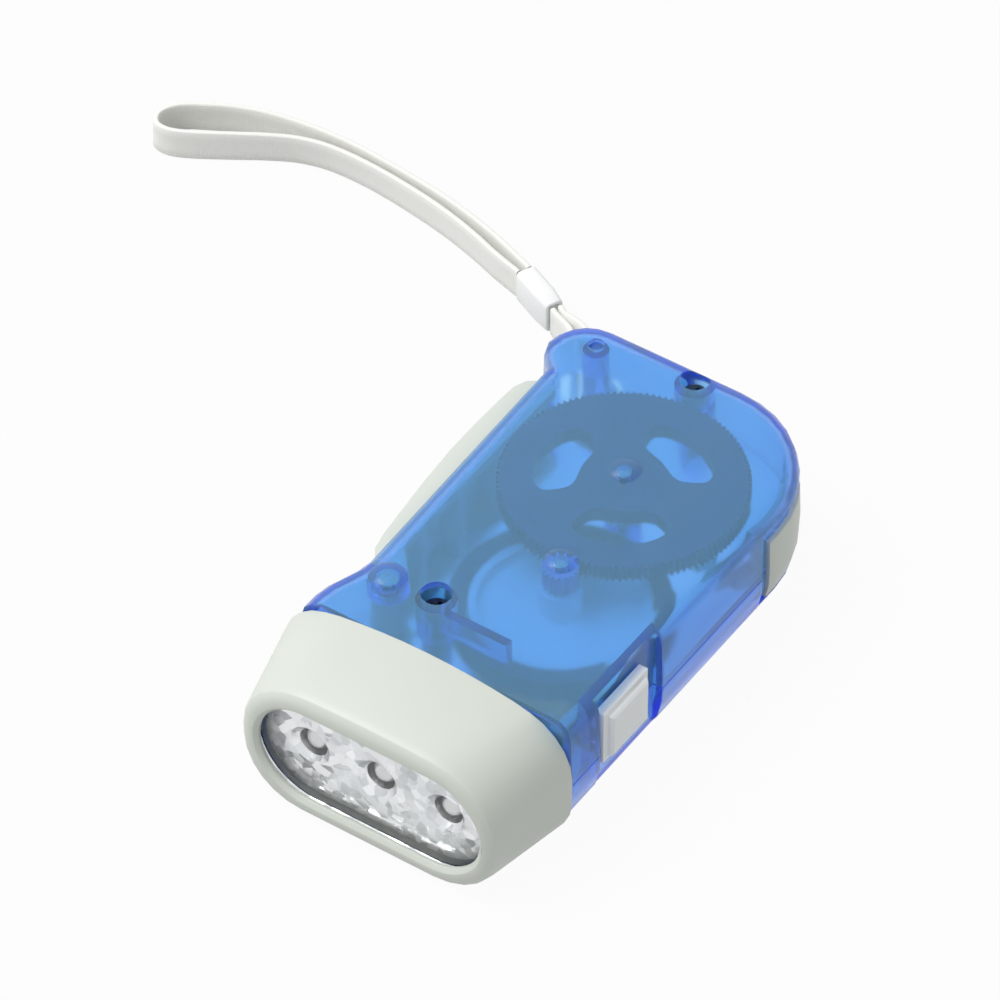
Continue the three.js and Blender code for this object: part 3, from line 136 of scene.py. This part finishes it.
def dress(node, name, body, material, smoothing, rounding=None):
    """A copy of a measured solid, with softer edges and its finish, that stands for the solid."""
    piece = copy_of(node, name)
    if rounding:
        round_edges(piece, *rounding)
    smooth(piece, smoothing)
    settle(piece, body, material, node)
    return piece


# Camera, set to the angle of the photograph

VIEW_AZIMUTH = math.radians(34.265)
VIEW_ELEVATION = math.radians(44.398)
VIEW_DISTANCE = 1.04909
VIEW_TARGET = Vector((0, 0, 13.5 * MM))
VIEW_ASIDE = -7.1607 * MM
VIEW_ABOVE = 16.4592 * MM
SENSOR = 36
LENS = 234.963
NEAREST_SEEN = 0.05
FARTHEST_SEEN = 20


def add_camera():
    back = Vector((
        math.sin(VIEW_AZIMUTH) * math.cos(VIEW_ELEVATION),
        -math.cos(VIEW_AZIMUTH) * math.cos(VIEW_ELEVATION),
        math.sin(VIEW_ELEVATION),
    ))
    right = Vector((math.cos(VIEW_AZIMUTH), math.sin(VIEW_AZIMUTH), 0))
    above = back.cross(right)
    data = bpy.data.cameras.new("camera")
    data.sensor_width = SENSOR
    data.lens = LENS
    data.clip_start = NEAREST_SEEN
    data.clip_end = FARTHEST_SEEN
    camera = bpy.data.objects.new("camera", data)
    bpy.context.scene.collection.objects.link(camera)
    place = VIEW_TARGET + back * VIEW_DISTANCE + right * VIEW_ASIDE + above * VIEW_ABOVE
    turn = Matrix((right, above, back)).transposed()
    camera.matrix_world = Matrix.Translation(place) @ turn.to_4x4()
    bpy.context.scene.camera = camera


add_camera()


# Nodes for the finishes

def add(tree, kind, values, **settings):
    """A new node's outputs. Each input is a number, a colour or another node's output."""
    node = tree.nodes.new(kind)
    for key, value in settings.items():
        setattr(node, key, value)
    for label, value in values.items():
        if isinstance(value, bpy.types.NodeSocket):
            tree.links.new(value, node.inputs[label])
        else:
            node.inputs[label].default_value = value
    return node.outputs


def mixed(tree, share, first, second):
    """A colour between two others."""
    values = {"Factor": share, "A": first, "B": second}
    return add(tree, "ShaderNodeMix", values, data_type="RGBA")["Result"]


def spread(tree, share, low, high):
    """A value between two others."""
    return add(tree, "ShaderNodeMapRange", {"Value": share, "To Min": low, "To Max": high})["Result"]


def vector_step(tree, operation, values):
    return add(tree, "ShaderNodeVectorMath", values, operation=operation)["Vector"]


def new_group(name, colours, numbers):
    """An empty group of nodes for a surface, and what it is given."""
    group = bpy.data.node_groups.new(name, "ShaderNodeTree")
    for label in colours:
        group.interface.new_socket(label, in_out="INPUT", socket_type="NodeSocketColor")
    for label in numbers:
        group.interface.new_socket(label, in_out="INPUT", socket_type="NodeSocketFloat")
    for label, kind in (("Colour", "Color"), ("Roughness", "Float"), ("Normal", "Vector")):
        group.interface.new_socket(label, in_out="OUTPUT", socket_type="NodeSocket" + kind)
    return group, group.nodes.new("NodeGroupInput").outputs


def put_out(group, colour, roughness, normal):
    add(group, "NodeGroupOutput", {"Colour": colour, "Roughness": roughness, "Normal": normal})
    return group


CLOUD_SCALE = 60
CLOUD_DETAIL = 4
GRAIN_DETAIL = 2
GRAIN_DEPTH = 0.05 * MM


def moulded_group():
    """Moulded plastic: faint cloudy tint, fine grain and a roughness that wanders a little."""
    group, given = new_group(
        "moulded_surface", ("Colour", "Shade"), ("Grain Scale", "Grain", "Smoothest", "Roughest"),
    )
    place = add(group, "ShaderNodeTexCoord", {})["Object"]
    clouds = add(group, "ShaderNodeTexNoise", {
        "Vector": place, "Scale": CLOUD_SCALE, "Detail": CLOUD_DETAIL,
    })["Fac"]
    grain = add(group, "ShaderNodeTexNoise", {
        "Vector": place, "Scale": given["Grain Scale"], "Detail": GRAIN_DETAIL,
    })["Fac"]
    bump = add(group, "ShaderNodeBump", {
        "Height": grain, "Strength": given["Grain"], "Distance": GRAIN_DEPTH,
    })["Normal"]
    colour = mixed(group, clouds, given["Colour"], given["Shade"])
    return put_out(group, colour, spread(group, clouds, given["Smoothest"], given["Roughest"]), bump)


THREAD_WANDER = 0.4
THREAD_DEPTH = 0.15 * MM
FLUFF_SCALE = 900
FLUFF_ROUGHEST = 0.95
FLUFF_SMOOTHEST = 0.75


def thread_rows(group, place, rows, direction):
    return add(
        group, "ShaderNodeTexWave", {"Vector": place, "Scale": rows, "Distortion": THREAD_WANDER},
        wave_type="BANDS", bands_direction=direction, wave_profile="SIN",
    )["Fac"]


def weave_group():
    """Flat woven tape, on a UV map that is metres along and across it, with painted shade in the hollows
    between its threads.
    """
    group, given = new_group("woven_tape", ("Colour", "Shade"), ("Rows", "Relief"))
    place = add(group, "ShaderNodeTexCoord", {})["UV"]
    across = thread_rows(group, place, given["Rows"], "X")
    along = thread_rows(group, place, given["Rows"], "Y")
    height = add(group, "ShaderNodeMath", {0: across, 1: along}, operation="MULTIPLY")["Value"]
    fluff = add(group, "ShaderNodeTexNoise", {"Vector": place, "Scale": FLUFF_SCALE})["Fac"]
    bump = add(group, "ShaderNodeBump", {
        "Height": height, "Strength": given["Relief"], "Distance": THREAD_DEPTH,
    })["Normal"]
    # Painted shade: the tape's own colour on the threads' crowns, going to the darker shade in the hollows
    # between them.
    colour = mixed(group, height, given["Shade"], given["Colour"])
    return put_out(group, colour, spread(group, fluff, FLUFF_ROUGHEST, FLUFF_SMOOTHEST), bump)


STREAK_STRETCH = (1, 1, 0.05)
STREAK_SCALE = 900
STREAK_DETAIL = 3
STREAK_RELIEF = 0.15
STREAK_DEPTH = 0.02 * MM
STAIN_SCALE = 180


def turned_group():
    """Turned or drawn metal: fine streaks along its upright axis, and light staining."""
    group, given = new_group("turned_metal", ("Colour", "Stain"), ("Smoothest", "Roughest"))
    place = add(group, "ShaderNodeTexCoord", {})["Object"]
    stretch = add(group, "ShaderNodeMapping", {"Vector": place, "Scale": STREAK_STRETCH})["Vector"]
    streaks = add(group, "ShaderNodeTexNoise", {
        "Vector": stretch, "Scale": STREAK_SCALE, "Detail": STREAK_DETAIL,
    })["Fac"]
    stain = add(group, "ShaderNodeTexNoise", {"Vector": place, "Scale": STAIN_SCALE})["Fac"]
    bump = add(group, "ShaderNodeBump", {
        "Height": streaks, "Strength": STREAK_RELIEF, "Distance": STREAK_DEPTH,
    })["Normal"]
    colour = mixed(group, stain, given["Colour"], given["Stain"])
    return put_out(group, colour, spread(group, streaks, given["Smoothest"], given["Roughest"]), bump)


MIDDLE_OF_RANGE = (0.5, 0.5, 0.5)


def facet_group():
    """Crystal cut mirror: every facet has its own slight lean, and a painted reflection that gives it its
    own brightness.
    """
    group, given = new_group(
        "cut_facets", ("Bright", "Painted Dim"), ("Facets", "Lean", "Smoothest", "Roughest"),
    )
    place = add(group, "ShaderNodeTexCoord", {})["Object"]
    normal = add(group, "ShaderNodeNewGeometry", {})["Normal"]
    cells = add(
        group, "ShaderNodeTexVoronoi", {"Vector": place, "Scale": given["Facets"]}, feature="F1",
    )["Color"]
    parts = add(group, "ShaderNodeSeparateColor", {"Color": cells})
    random = vector_step(group, "SUBTRACT", {0: cells, 1: MIDDLE_OF_RANGE})
    lean = vector_step(group, "SCALE", {0: random, "Scale": given["Lean"]})
    leaning = vector_step(group, "ADD", {0: lean, 1: normal})
    unit = vector_step(group, "NORMALIZE", {0: leaning})
    # Painted reflection: each facet's colour is set at random between bright and dim, standing in for the
    # light it would catch.
    colour = mixed(group, parts["Red"], given["Painted Dim"], given["Bright"])
    roughness = spread(group, parts["Green"], given["Smoothest"], given["Roughest"])
    return put_out(group, colour, roughness, unit)


MOULDED = moulded_group()
FACETS = facet_group()
WOVEN = weave_group()
TURNED = turned_group()


# Finishes

MOULD_GRAIN = 0.1
MOULD_GRAIN_SCALE = 2500
POLISHED_GRAIN = 0.005
POLISHED_GRAIN_SCALE = 900


def new_finish(name, group, values):
    """A material whose colour, roughness and normal come from a group, and its shader's inputs."""
    material = bpy.data.materials.new(name)
    material.use_nodes = True
    tree = material.node_tree
    surface = add(tree, "ShaderNodeGroup", values, node_tree=group)
    shader = tree.nodes["Principled BSDF"].inputs
    for result, label in (("Colour", "Base Color"), ("Roughness", "Roughness"), ("Normal", "Normal")):
        tree.links.new(surface[result], shader[label])
    return material, shader


def plastic(name, colour, shade, smoothest, roughest, grain=MOULD_GRAIN, grain_scale=MOULD_GRAIN_SCALE):
    return new_finish(name, MOULDED, {
        "Colour": (*colour, 1), "Shade": (*shade, 1), "Grain Scale": grain_scale, "Grain": grain,
        "Smoothest": smoothest, "Roughest": roughest,
    })[0]


def metal(name, colour, stain, smoothest, roughest):
    material, shader = new_finish(name, TURNED, {
        "Colour": (*colour, 1), "Stain": (*stain, 1), "Smoothest": smoothest, "Roughest": roughest,
    })
    shader["Metallic"].default_value = 1
    return material


def see_through(name, colour, smoothest, roughest, ior, clearness=1.0):
    """Clear or tinted moulded plastic, milky where its clearness is below one."""
    material, shader = new_finish(name, MOULDED, {
        "Colour": (*colour, 1), "Shade": (*colour, 1), "Grain Scale": POLISHED_GRAIN_SCALE,
        "Grain": POLISHED_GRAIN, "Smoothest": smoothest, "Roughest": roughest,
    })
    shader["Transmission Weight"].default_value = clearness
    shader["IOR"].default_value = ior
    return material, shader


def deepen(material, density, tint):
    """Makes a see-through finish take up a tint that deepens with its thickness."""
    tree = material.node_tree
    volume = add(tree, "ShaderNodeVolumeAbsorption", {"Color": (*tint, 1), "Density": density})["Volume"]
    tree.links.new(volume, tree.nodes["Material Output"].inputs["Volume"])


def silvered_facets():
    # Painted reflection: the facets' colours run from near white to grey, as if each caught a different
    # light.
    material, shader = new_finish("silvered_facets", FACETS, {
        "Bright": (0.99, 0.99, 1.0, 1), "Painted Dim": (0.7, 0.72, 0.74, 1), "Facets": 620, "Lean": 0.35,
        "Smoothest": 0.24, "Roughest": 0.46,
    })
    shader["Metallic"].default_value = 1
    return material


def led_lens():
    material, shader = see_through("led_lens", (0.99, 0.99, 0.99), 0.12, 0.2, 1.45, clearness=0.9)
    shader["Metallic"].default_value = 0.6
    return material


def woven_strap():
    # The darker of the two colours is the painted shade between the threads.
    material, shader = new_finish("woven_strap", WOVEN, {
        "Colour": (0.98, 0.98, 0.95, 1), "Shade": (0.88, 0.88, 0.84, 1), "Rows": 900, "Relief": 0.4,
    })
    shader["Sheen Weight"].default_value = 0.2
    return material


HOUSING_BLUE = see_through("housing_blue", (0.4, 0.88, 1.0), 0.15, 0.22, 1.28, clearness=0.84)[0]
deepen(HOUSING_BLUE, 200, (0.2, 0.05, 1.0))
GREY = plastic("warm_grey_plastic", (0.66, 0.7, 0.64), (0.63, 0.67, 0.615), 0.38, 0.48)
WHITE = plastic("white_plastic", (0.93, 0.94, 0.94), (0.89, 0.9, 0.9), 0.35, 0.5)
DARK = plastic("dark_ring_plastic", (0.08, 0.07, 0.13), (0.065, 0.055, 0.11), 0.4, 0.55)
GEAR_GREY = plastic("grey_gear_plastic", (0.09, 0.05, 0.13), (0.075, 0.04, 0.11), 0.4, 0.55)
PINION_GREY = plastic("grey_pinion_plastic", (0.4, 0.36, 0.7), (0.34, 0.3, 0.62), 0.35, 0.5)
KNOB_GREY = plastic("pale_knob_plastic", (0.92, 0.95, 0.96), (0.88, 0.91, 0.92), 0.32, 0.42)
BOARD_GREEN = plastic("circuit_board_green", (0.03, 0.16, 0.08), (0.02, 0.12, 0.06), 0.35, 0.5)
RED = plastic("red_lead_sleeving", (0.5, 0.04, 0.03), (0.42, 0.03, 0.03), 0.4, 0.5)
BLACK = plastic("black_lead_sleeving", (0.02, 0.02, 0.025), (0.015, 0.015, 0.02), 0.4, 0.5)
STEEL = metal("zinc_plated_steel", (0.62, 0.63, 0.65), (0.5, 0.5, 0.52), 0.2, 0.36)
# Painted shade: the case screws are coloured near black so that their deep recesses look dark.
PAINTED_SHADE_SCREW_STEEL = metal("screw_steel_painted_shade", (0.1, 0.1, 0.13), (0.06, 0.06, 0.08), 0.25, 0.4)
SILVERED = silvered_facets()
FERRITE = plastic(
    "ferrite_magnet", (0.05, 0.05, 0.055), (0.035, 0.035, 0.04), 0.5, 0.7, grain=0.3, grain_scale=1200,
)
COPPER = metal("enamelled_copper", (0.72, 0.3, 0.14), (0.6, 0.22, 0.1), 0.25, 0.4)
CLEAR = see_through("clear_lens", (0.97, 0.98, 0.98), 0.02, 0.04, 1.35)[0]
LED_CLEAR = led_lens()
TAPE = woven_strap()

# Greatest angle in degrees that is shaded as one surface
FLOWING = 50
SOFT = 45
CRISP = 40
FLAT = 10

# Rounded edges: width, segments and least angle in degrees
SLEEVE_EDGE = (0.3 * MM, 3, 40)
BEZEL_EDGE = (0.35 * MM, 3, 30)
WINDOW_EDGE = (0.25 * MM, 2, 40)
GRIP_EDGE = (0.25 * MM, 2, 40)
KNOB_EDGE = (0.4 * MM, 3, 30)


# Strap: two lengths of flat woven tape that stand on edge, and the sleeve that joins them

TAPE_WIDTH = 6 * MM
TAPE_THICKNESS = 1 * MM
STRAP_LEAN = 0.05
LEAN_WAVE = 9 * MM
ROUTE_STEPS = 6
STRAP_ROUTE = [
    (-52.3, 69.7, 3.2), (-58.2, 71.4, 3.2), (-63.4, 73.2, 3.2), (-68.8, 74.8, 3.2), (-74.4, 76.1, 3.2),
    (-80.2, 77.1, 3.2), (-86.2, 77.9, 3.2), (-92.2, 78.3, 3.2), (-98.2, 78.1, 3.2), (-103.6, 76.8, 3.2),
    (-108.6, 74.3, 3.2), (-113.0, 71.6, 3.2), (-117.2, 69.0, 3.2), (-120.8, 66.9, 3.2), (-124.0, 65.7, 3.2),
    (-126.7, 66.1, 3.2), (-127.9, 68.2, 3.2), (-127.3, 70.7, 3.2), (-125.4, 72.9, 3.2), (-122.2, 74.9, 3.2),
    (-118.2, 77.0, 3.2), (-113.0, 78.9, 3.2), (-107.2, 80.1, 3.2), (-100.6, 80.8, 3.2), (-94.0, 80.9, 3.2),
    (-87.2, 80.4, 3.2), (-80.6, 79.6, 3.2), (-74.0, 78.6, 3.2), (-67.8, 77.2, 3.2), (-61.8, 75.5, 3.2),
    (-56.4, 73.6, 3.2), (-51.4, 71.7, 3.2),
]
TAIL_ROUTE = [
    (-42.2, 65.2, 3.2), (-40.4, 64.1, 3.3), (-37.6, 61.9, 4.8), (-34.2, 58.7, 7.2), (-31.0, 55.2, 9.2),
    (-28.4, 51.8, 10.6), (-26.3, 48.4, 11.0), (-24.6, 45.1, 11.0), (-21.9, 41.7, 11.0), (-19.4, 40.4, 11.0),
    (-16.9, 41.4, 11.0), (-15.9, 43.9, 11.0), (-16.9, 46.4, 11.0), (-20.2, 48.7, 11.0), (-23.5, 51.2, 11.0),
    (-26.2, 53.8, 11.0), (-28.9, 56.6, 10.3), (-32.2, 59.6, 8.6), (-36.0, 62.5, 5.9), (-39.2, 64.9, 3.6),
    (-41.3, 66.4, 3.2),
]

# Outline of the tape across its run, as shares of its half width and half thickness
TAPE_SECTION_SHARES = [
    (1.0, 0.3), (0.97, 0.75), (0.9, 1.0), (0.45, 0.94), (0.0, 0.92), (-0.45, 0.94), (-0.9, 1.0),
    (-0.97, 0.75), (-1.0, 0.3), (-1.0, -0.3), (-0.97, -0.75), (-0.9, -1.0), (-0.45, -0.94),
    (0.0, -0.92), (0.45, -0.94), (0.9, -1.0), (0.97, -0.75), (1.0, -0.3),
]

# The sleeve's two ends, how wide its walls are and how deep it is hollow
SLEEVE_LOOP_END = Vector((-51.3, 70.4, 3.4)) * MM
SLEEVE_TAIL_END = Vector((-42.6, 66.3, 3.25)) * MM
SLEEVE_WALL = 0.7 * MM
SLEEVE_HOLLOW = 1.2 * MM
SLEEVE_END_REACH = 1.0 * MM
FACING_SHARE = 0.95


def smooth_route(route):
    """Points in metres on one smooth curve through a route in millimetres."""
    points = [Vector(p) * MM for p in route]
    points = [2 * points[0] - points[1], *points, 2 * points[-1] - points[-2]]
    path = []
    for a, b, c, d in zip(points, points[1:], points[2:], points[3:]):
        for i in range(ROUTE_STEPS):
            t = i / ROUTE_STEPS
            path.append(0.5 * (2 * b + (c - a) * t + (2 * a - 5 * b + 4 * c - d) * t * t
                               + (3 * b - a - 3 * c + d) * t ** 3))
    path.append(points[-2])
    return path


def tape_rings(path, lean):
    """The tape's corners all along a path, and how far along it each ring lies."""
    vertices, lengths, run = [], [], 0.0
    for i, middle in enumerate(path):
        ahead = path[min(i + 1, len(path) - 1)] - path[max(i - 1, 0)]
        ahead.normalize()
        up = (Vector((0, 0, 1)) - ahead * ahead.z).normalized()
        side = ahead.cross(up)
        tilt = lean * math.sin(run / LEAN_WAVE) * math.sin(math.pi * i / (len(path) - 1))
        up, side = (
            up * math.cos(tilt) + side * math.sin(tilt), side * math.cos(tilt) - up * math.sin(tilt),
        )
        for tall, thick in TAPE_SECTION_SHARES:
            corner = middle + up * tall * TAPE_WIDTH / 2 + side * thick * TAPE_THICKNESS / 2
            vertices.append(tuple(corner))
        if i:
            run += (middle - path[i - 1]).length
        lengths.append(run)
    return vertices, lengths


def tape_faces(rings, count):
    faces = []
    for i in range(rings - 1):
        for j in range(count):
            k = (j + 1) % count
            faces.append((i * count + j, i * count + k, (i + 1) * count + k, (i + 1) * count + j))
    last = (rings - 1) * count
    return [*faces, tuple(reversed(range(count))), tuple(range(last, last + count))]


def unroll(mesh, lengths):
    """Lays the tape's UV map out in metres along and round it."""
    count = len(TAPE_SECTION_SHARES)
    around = [0.0]
    for j in range(count):
        a, b = TAPE_SECTION_SHARES[j], TAPE_SECTION_SHARES[(j + 1) % count]
        step = math.hypot((b[0] - a[0]) * TAPE_WIDTH / 2, (b[1] - a[1]) * TAPE_THICKNESS / 2)
        around.append(around[-1] + step)
    layer = mesh.uv_layers.new(name="along_and_across")
    for face in mesh.polygons:
        for loop in face.loop_indices:
            ring, j = divmod(mesh.loops[loop].vertex_index, count)
            wraps = len(face.vertices) == 4 and j == 0 and count - 1 in [v % count for v in face.vertices]
            layer.data[loop].uv = (lengths[ring], around[count if wraps else j])


def tape(name, path, lean=0.0):
    """A band that stands on its edge along a path and leans a little from side to side."""
    vertices, lengths = tape_rings(path, lean)
    mesh = bpy.data.meshes.new(name)
    mesh.from_pydata(vertices, [], tape_faces(len(path), len(TAPE_SECTION_SHARES)))
    unroll(mesh, lengths)
    piece = bpy.data.objects.new(name, mesh)
    bpy.context.scene.collection.objects.link(piece)
    edit(piece)
    face_outward()
    done()
    smooth(piece, FLOWING)
    return piece, lengths[-1]


def strap_keeper():
    """The white sleeve, with its two ends sunk in round the tape."""
    piece = copy_of("strap_sleeve", "strap_keeper")
    run = SLEEVE_LOOP_END - SLEEVE_TAIL_END
    run.z = 0
    run.normalize()
    edit(piece)
    bpy.ops.mesh.select_mode(type="FACE")
    select_faces(piece, lambda middle, normal: abs(normal.dot(run)) > FACING_SHARE)
    bpy.ops.mesh.inset(thickness=SLEEVE_WALL)
    for end, outward in ((SLEEVE_LOOP_END, run), (SLEEVE_TAIL_END, -run)):
        select_faces(piece, lambda middle, normal: (
            normal.dot(outward) > FACING_SHARE and (middle - end).length < SLEEVE_END_REACH
        ))
        bpy.ops.mesh.extrude_region_move(TRANSFORM_OT_translate={"value": -outward * SLEEVE_HOLLOW})
    done()
    round_edges(piece, *SLEEVE_EDGE)
    smooth(piece, FLOWING)
    return piece


keeper = strap_keeper()
settle(keeper, "case", WHITE, "strap_sleeve")
strap_path = smooth_route(STRAP_ROUTE)
strap_tape, strap_length = tape("wrist_strap", strap_path, STRAP_LEAN)
settle(strap_tape, "case", TAPE, "strap_webbing")
tail_path = smooth_route(TAIL_ROUTE)
tail_tape, tail_length = tape("strap_tail_tape", tail_path)
settle(tail_tape, "case", TAPE, "strap_tail")


# Housing, and the nose's bezel and window

dress("top_shell", "housing_top", "case", HOUSING_BLUE, CRISP)
dress("bottom_shell", "housing_back", "case", HOUSING_BLUE, CRISP)
dress("bezel", "nose_bezel", "case", GREY, SOFT, BEZEL_EDGE)
dress("front_lens", "lens_window", "case", CLEAR, FLAT, WINDOW_EDGE)


# Reflector

CUP_RIM = 4.3 * MM
CUP_FLOOR = 2.65 * MM
CUP_DEPTH = 1.5 * MM
CUP_BACK = 3.4 * MM
CUP_SIDES = 32
CUP_OVERLAP = 0.1 * MM
CUP_OVERRUN = 0.2 * MM
FACETS_ALONG = 31
FACETS_UP = 14
FACET_DEPTH = 0.55 * MM
FACET_EVENNESS = 0.2
FACET_SEED = 5
FRONT_TOLERANCE = 0.1 * MM
BLOCK_MARGIN_SHARE = 1.04
BLOCK_DEPTH_SHARE = 1.1
LEANING_SHARE_ALONG = 0.49
LEANING_SHARE_UP = 0.47
ACROSS_TO_UPRIGHT = (math.pi / 2, 0, 0)
LAMPS = ("led_left", "led_middle", "led_right")


def box_of(node):
    low, high = (Vector(corner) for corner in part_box(node))
    return low, high


def cut(piece, tool, operation):
    apply_modifier(piece, "BOOLEAN", object=tool, operation=operation, solver="EXACT")
    bpy.data.objects.remove(tool, do_unlink=True)


def crystal_block(low, high):
    """A block whose front is broken into facets, which lean at random but the same way each time."""
    size, middle = high - low, (low + high) / 2
    front = low.y + FACET_DEPTH
    bpy.ops.object.select_all(action="DESELECT")
    bpy.ops.mesh.primitive_grid_add(
        x_subdivisions=FACETS_ALONG, y_subdivisions=FACETS_UP, size=1,
        location=(middle.x, front, middle.z), rotation=ACROSS_TO_UPRIGHT,
        scale=(size.x * BLOCK_MARGIN_SHARE, size.z * BLOCK_MARGIN_SHARE, 1),
    )
    piece = bpy.context.object
    bpy.ops.object.transform_apply(location=True, rotation=True, scale=True)
    edit(piece)
    bpy.ops.mesh.select_all(action="SELECT")
    bpy.ops.mesh.extrude_region_move(
        TRANSFORM_OT_translate={"value": (0, size.y * BLOCK_DEPTH_SHARE, 0)},
    )
    bpy.ops.mesh.select_all(action="DESELECT")
    select_faces(piece, lambda place, normal: abs(place.y - front) < FRONT_TOLERANCE)
    bpy.ops.mesh.quads_convert_to_tris(quad_method="BEAUTY")
    select_faces(piece, lambda place, normal: (
        abs(place.y - front) < FRONT_TOLERANCE and abs(place.x) < size.x * LEANING_SHARE_ALONG
        and abs(place.z - middle.z) < size.z * LEANING_SHARE_UP
    ))
    bpy.ops.transform.vertex_random(offset=FACET_DEPTH, uniform=FACET_EVENNESS, normal=0, seed=FACET_SEED)
    face_outward()
    done()
    return piece


def cone_along_y(x, z, front, back, front_radius, back_radius):
    bpy.ops.object.select_all(action="DESELECT")
    bpy.ops.mesh.primitive_cone_add(
        vertices=CUP_SIDES, radius1=back_radius, radius2=front_radius, depth=back - front,
        location=(x, (front + back) / 2, z), rotation=ACROSS_TO_UPRIGHT,
    )
    return bpy.context.object


def reflector_outline(low, high):
    """The window's shape, brought to the reflector's size and place."""
    piece = copy_of("front_lens", "reflector_outline")
    lens_low, lens_high = box_of("front_lens")
    size, lens_size, middle = high - low, lens_high - lens_low, (lens_low + lens_high) / 2
    edit(piece)
    bpy.ops.mesh.select_all(action="SELECT")
    bpy.ops.transform.resize(
        value=(size.x / lens_size.x, size.y / lens_size.y, size.z / lens_size.z),
        center_override=middle,
    )
    bpy.ops.transform.translate(value=(low + high) / 2 - middle)
    done()
    return piece


def faceted_reflector():
    low, high = box_of("reflector")
    piece = crystal_block(low, high)
    piece.name = piece.data.name = "faceted_reflector"
    cut(piece, reflector_outline(low, high), "INTERSECT")
    floor, behind = low.y + CUP_DEPTH, high.y + CUP_OVERRUN
    for node in LAMPS:
        lamp_low, lamp_high = box_of(node)
        x, z = (lamp_low.x + lamp_high.x) / 2, (lamp_low.z + lamp_high.z) / 2
        cut(piece, cone_along_y(x, z, low.y, floor, CUP_RIM, CUP_FLOOR), "DIFFERENCE")
        cut(piece, cone_along_y(x, z, floor - CUP_OVERLAP, behind, CUP_FLOOR, CUP_BACK), "DIFFERENCE")
    return piece


settle(faceted_reflector(), "case", SILVERED, "reflector")


# Lamps, clear in front and silvered behind

LED_BACK = 1.9 * MM

for node in LAMPS:
    lamp = dress(node, node + "_lamp", "case", LED_CLEAR, SOFT)
    lamp.data.materials.append(SILVERED)
    silvered_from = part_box(node)[0][1] + LED_BACK
    edit(lamp)
    select_faces(lamp, lambda middle, normal: middle.y > silvered_from)
    lamp.active_material_index = 1
    bpy.ops.object.material_slot_assign()
    done()


# Lever, lock and switch

dress("squeeze_lever", "lever_grip", "lever", GREY, CRISP, GRIP_EDGE)
dress("lever_lock", "lock_slide", "lock", GREY, CRISP, GRIP_EDGE)
dress("switch_knob", "switch_button", "switch", KNOB_GREY, CRISP, KNOB_EDGE)


# Finishes of the solids that stay

FINISHES = {
    "blue_shell": HOUSING_BLUE, "grey_plastic": GREY, "clear_lens": CLEAR, "silver_reflector": SILVERED,
    "led_lens": LED_CLEAR, "steel": STEEL, "white_plastic": WHITE, "dark_plastic": DARK, "ferrite": FERRITE,
    "copper_wire": COPPER, "circuit_board": BOARD_GREEN, "webbing": TAPE, "red_lead": RED,
    "black_lead": BLACK,
}
# The case screws take the near-black steel that paints the shade in their recesses.
OWN_FINISHES = {
    "drive_gear": GEAR_GREY, "rotor_pinion": PINION_GREY,
    "case_screw_front": PAINTED_SHADE_SCREW_STEEL, "case_screw_rear": PAINTED_SHADE_SCREW_STEEL,
}
for subpart in frame["record"]["subparts"]:
    solid = frame["nodes"][subpart["node"]]
    solid.data.materials.clear()
    solid.data.materials.append(OWN_FINISHES.get(subpart["node"], FINISHES[subpart["material_slot"]]))


# Floor, world and lamp

FLOOR_SIZE = 8
FLOOR_COLOUR = (0.54, 0.54, 0.54, 1)
FLOOR_ROUGHNESS = 0.8
FLOOR_SPECULAR = 0.1
FLOOR_GLOW = 0.95
WORLD_LIGHT = 0.55
WORLD_SEEN = 1
WHITE_LIGHT = (1, 1, 1, 1)
KEY_PLACE = Vector((-0.7, -0.35, 1.3))
KEY_SIZE = 1.0
KEY_POWER = 16


def white_to_the_eye(tree):
    """1 for what the camera, a mirror or a clear piece sees, 0 for what lights the object."""
    path = add(tree, "ShaderNodeLightPath", {})
    total = path["Is Camera Ray"]
    for label in ("Is Glossy Ray", "Is Transmission Ray"):
        total = add(tree, "ShaderNodeMath", {0: total, 1: path[label]}, operation="MAXIMUM")["Value"]
    return total


def floor_finish():
    """A matt floor that looks white but lights the object only softly."""
    material = bpy.data.materials.new("pale_floor")
    material.use_nodes = True
    tree = material.node_tree
    shader = tree.nodes["Principled BSDF"]
    shader.inputs["Base Color"].default_value = FLOOR_COLOUR
    shader.inputs["Roughness"].default_value = FLOOR_ROUGHNESS
    shader.inputs["Specular IOR Level"].default_value = FLOOR_SPECULAR
    glow = add(tree, "ShaderNodeEmission", {})["Emission"]
    seen = {0: white_to_the_eye(tree), 1: FLOOR_GLOW}
    share = add(tree, "ShaderNodeMath", seen, operation="MULTIPLY")["Value"]
    blend = add(tree, "ShaderNodeMixShader", {"Fac": share, 1: shader.outputs["BSDF"], 2: glow})["Shader"]
    tree.links.new(blend, tree.nodes["Material Output"].inputs["Surface"])
    return material


def add_floor():
    bpy.ops.object.select_all(action="DESELECT")
    bpy.ops.mesh.primitive_plane_add(size=FLOOR_SIZE, location=(0, 0, 0))
    floor = bpy.context.object
    floor.name = "floor"
    floor.data.materials.append(floor_finish())


def add_world():
    world = bpy.data.worlds.new("studio")
    bpy.context.scene.world = world
    world.use_nodes = True
    tree = world.node_tree
    background = tree.nodes["Background"].inputs
    strength = spread(tree, white_to_the_eye(tree), WORLD_LIGHT, WORLD_SEEN)
    tree.links.new(strength, background["Strength"])
    background["Color"].default_value = WHITE_LIGHT


def add_key_lamp():
    data = bpy.data.lights.new("key_lamp", "AREA")
    data.shape = "DISK"
    data.size = KEY_SIZE
    data.energy = KEY_POWER
    lamp = bpy.data.objects.new("key_lamp", data)
    bpy.context.scene.collection.objects.link(lamp)
    lamp.location = KEY_PLACE
    lamp.rotation_euler = (-KEY_PLACE).to_track_quat("-Z", "Y").to_euler()


add_floor()
add_world()
add_key_lamp()
bpy.context.scene.view_settings.view_transform = "Standard"
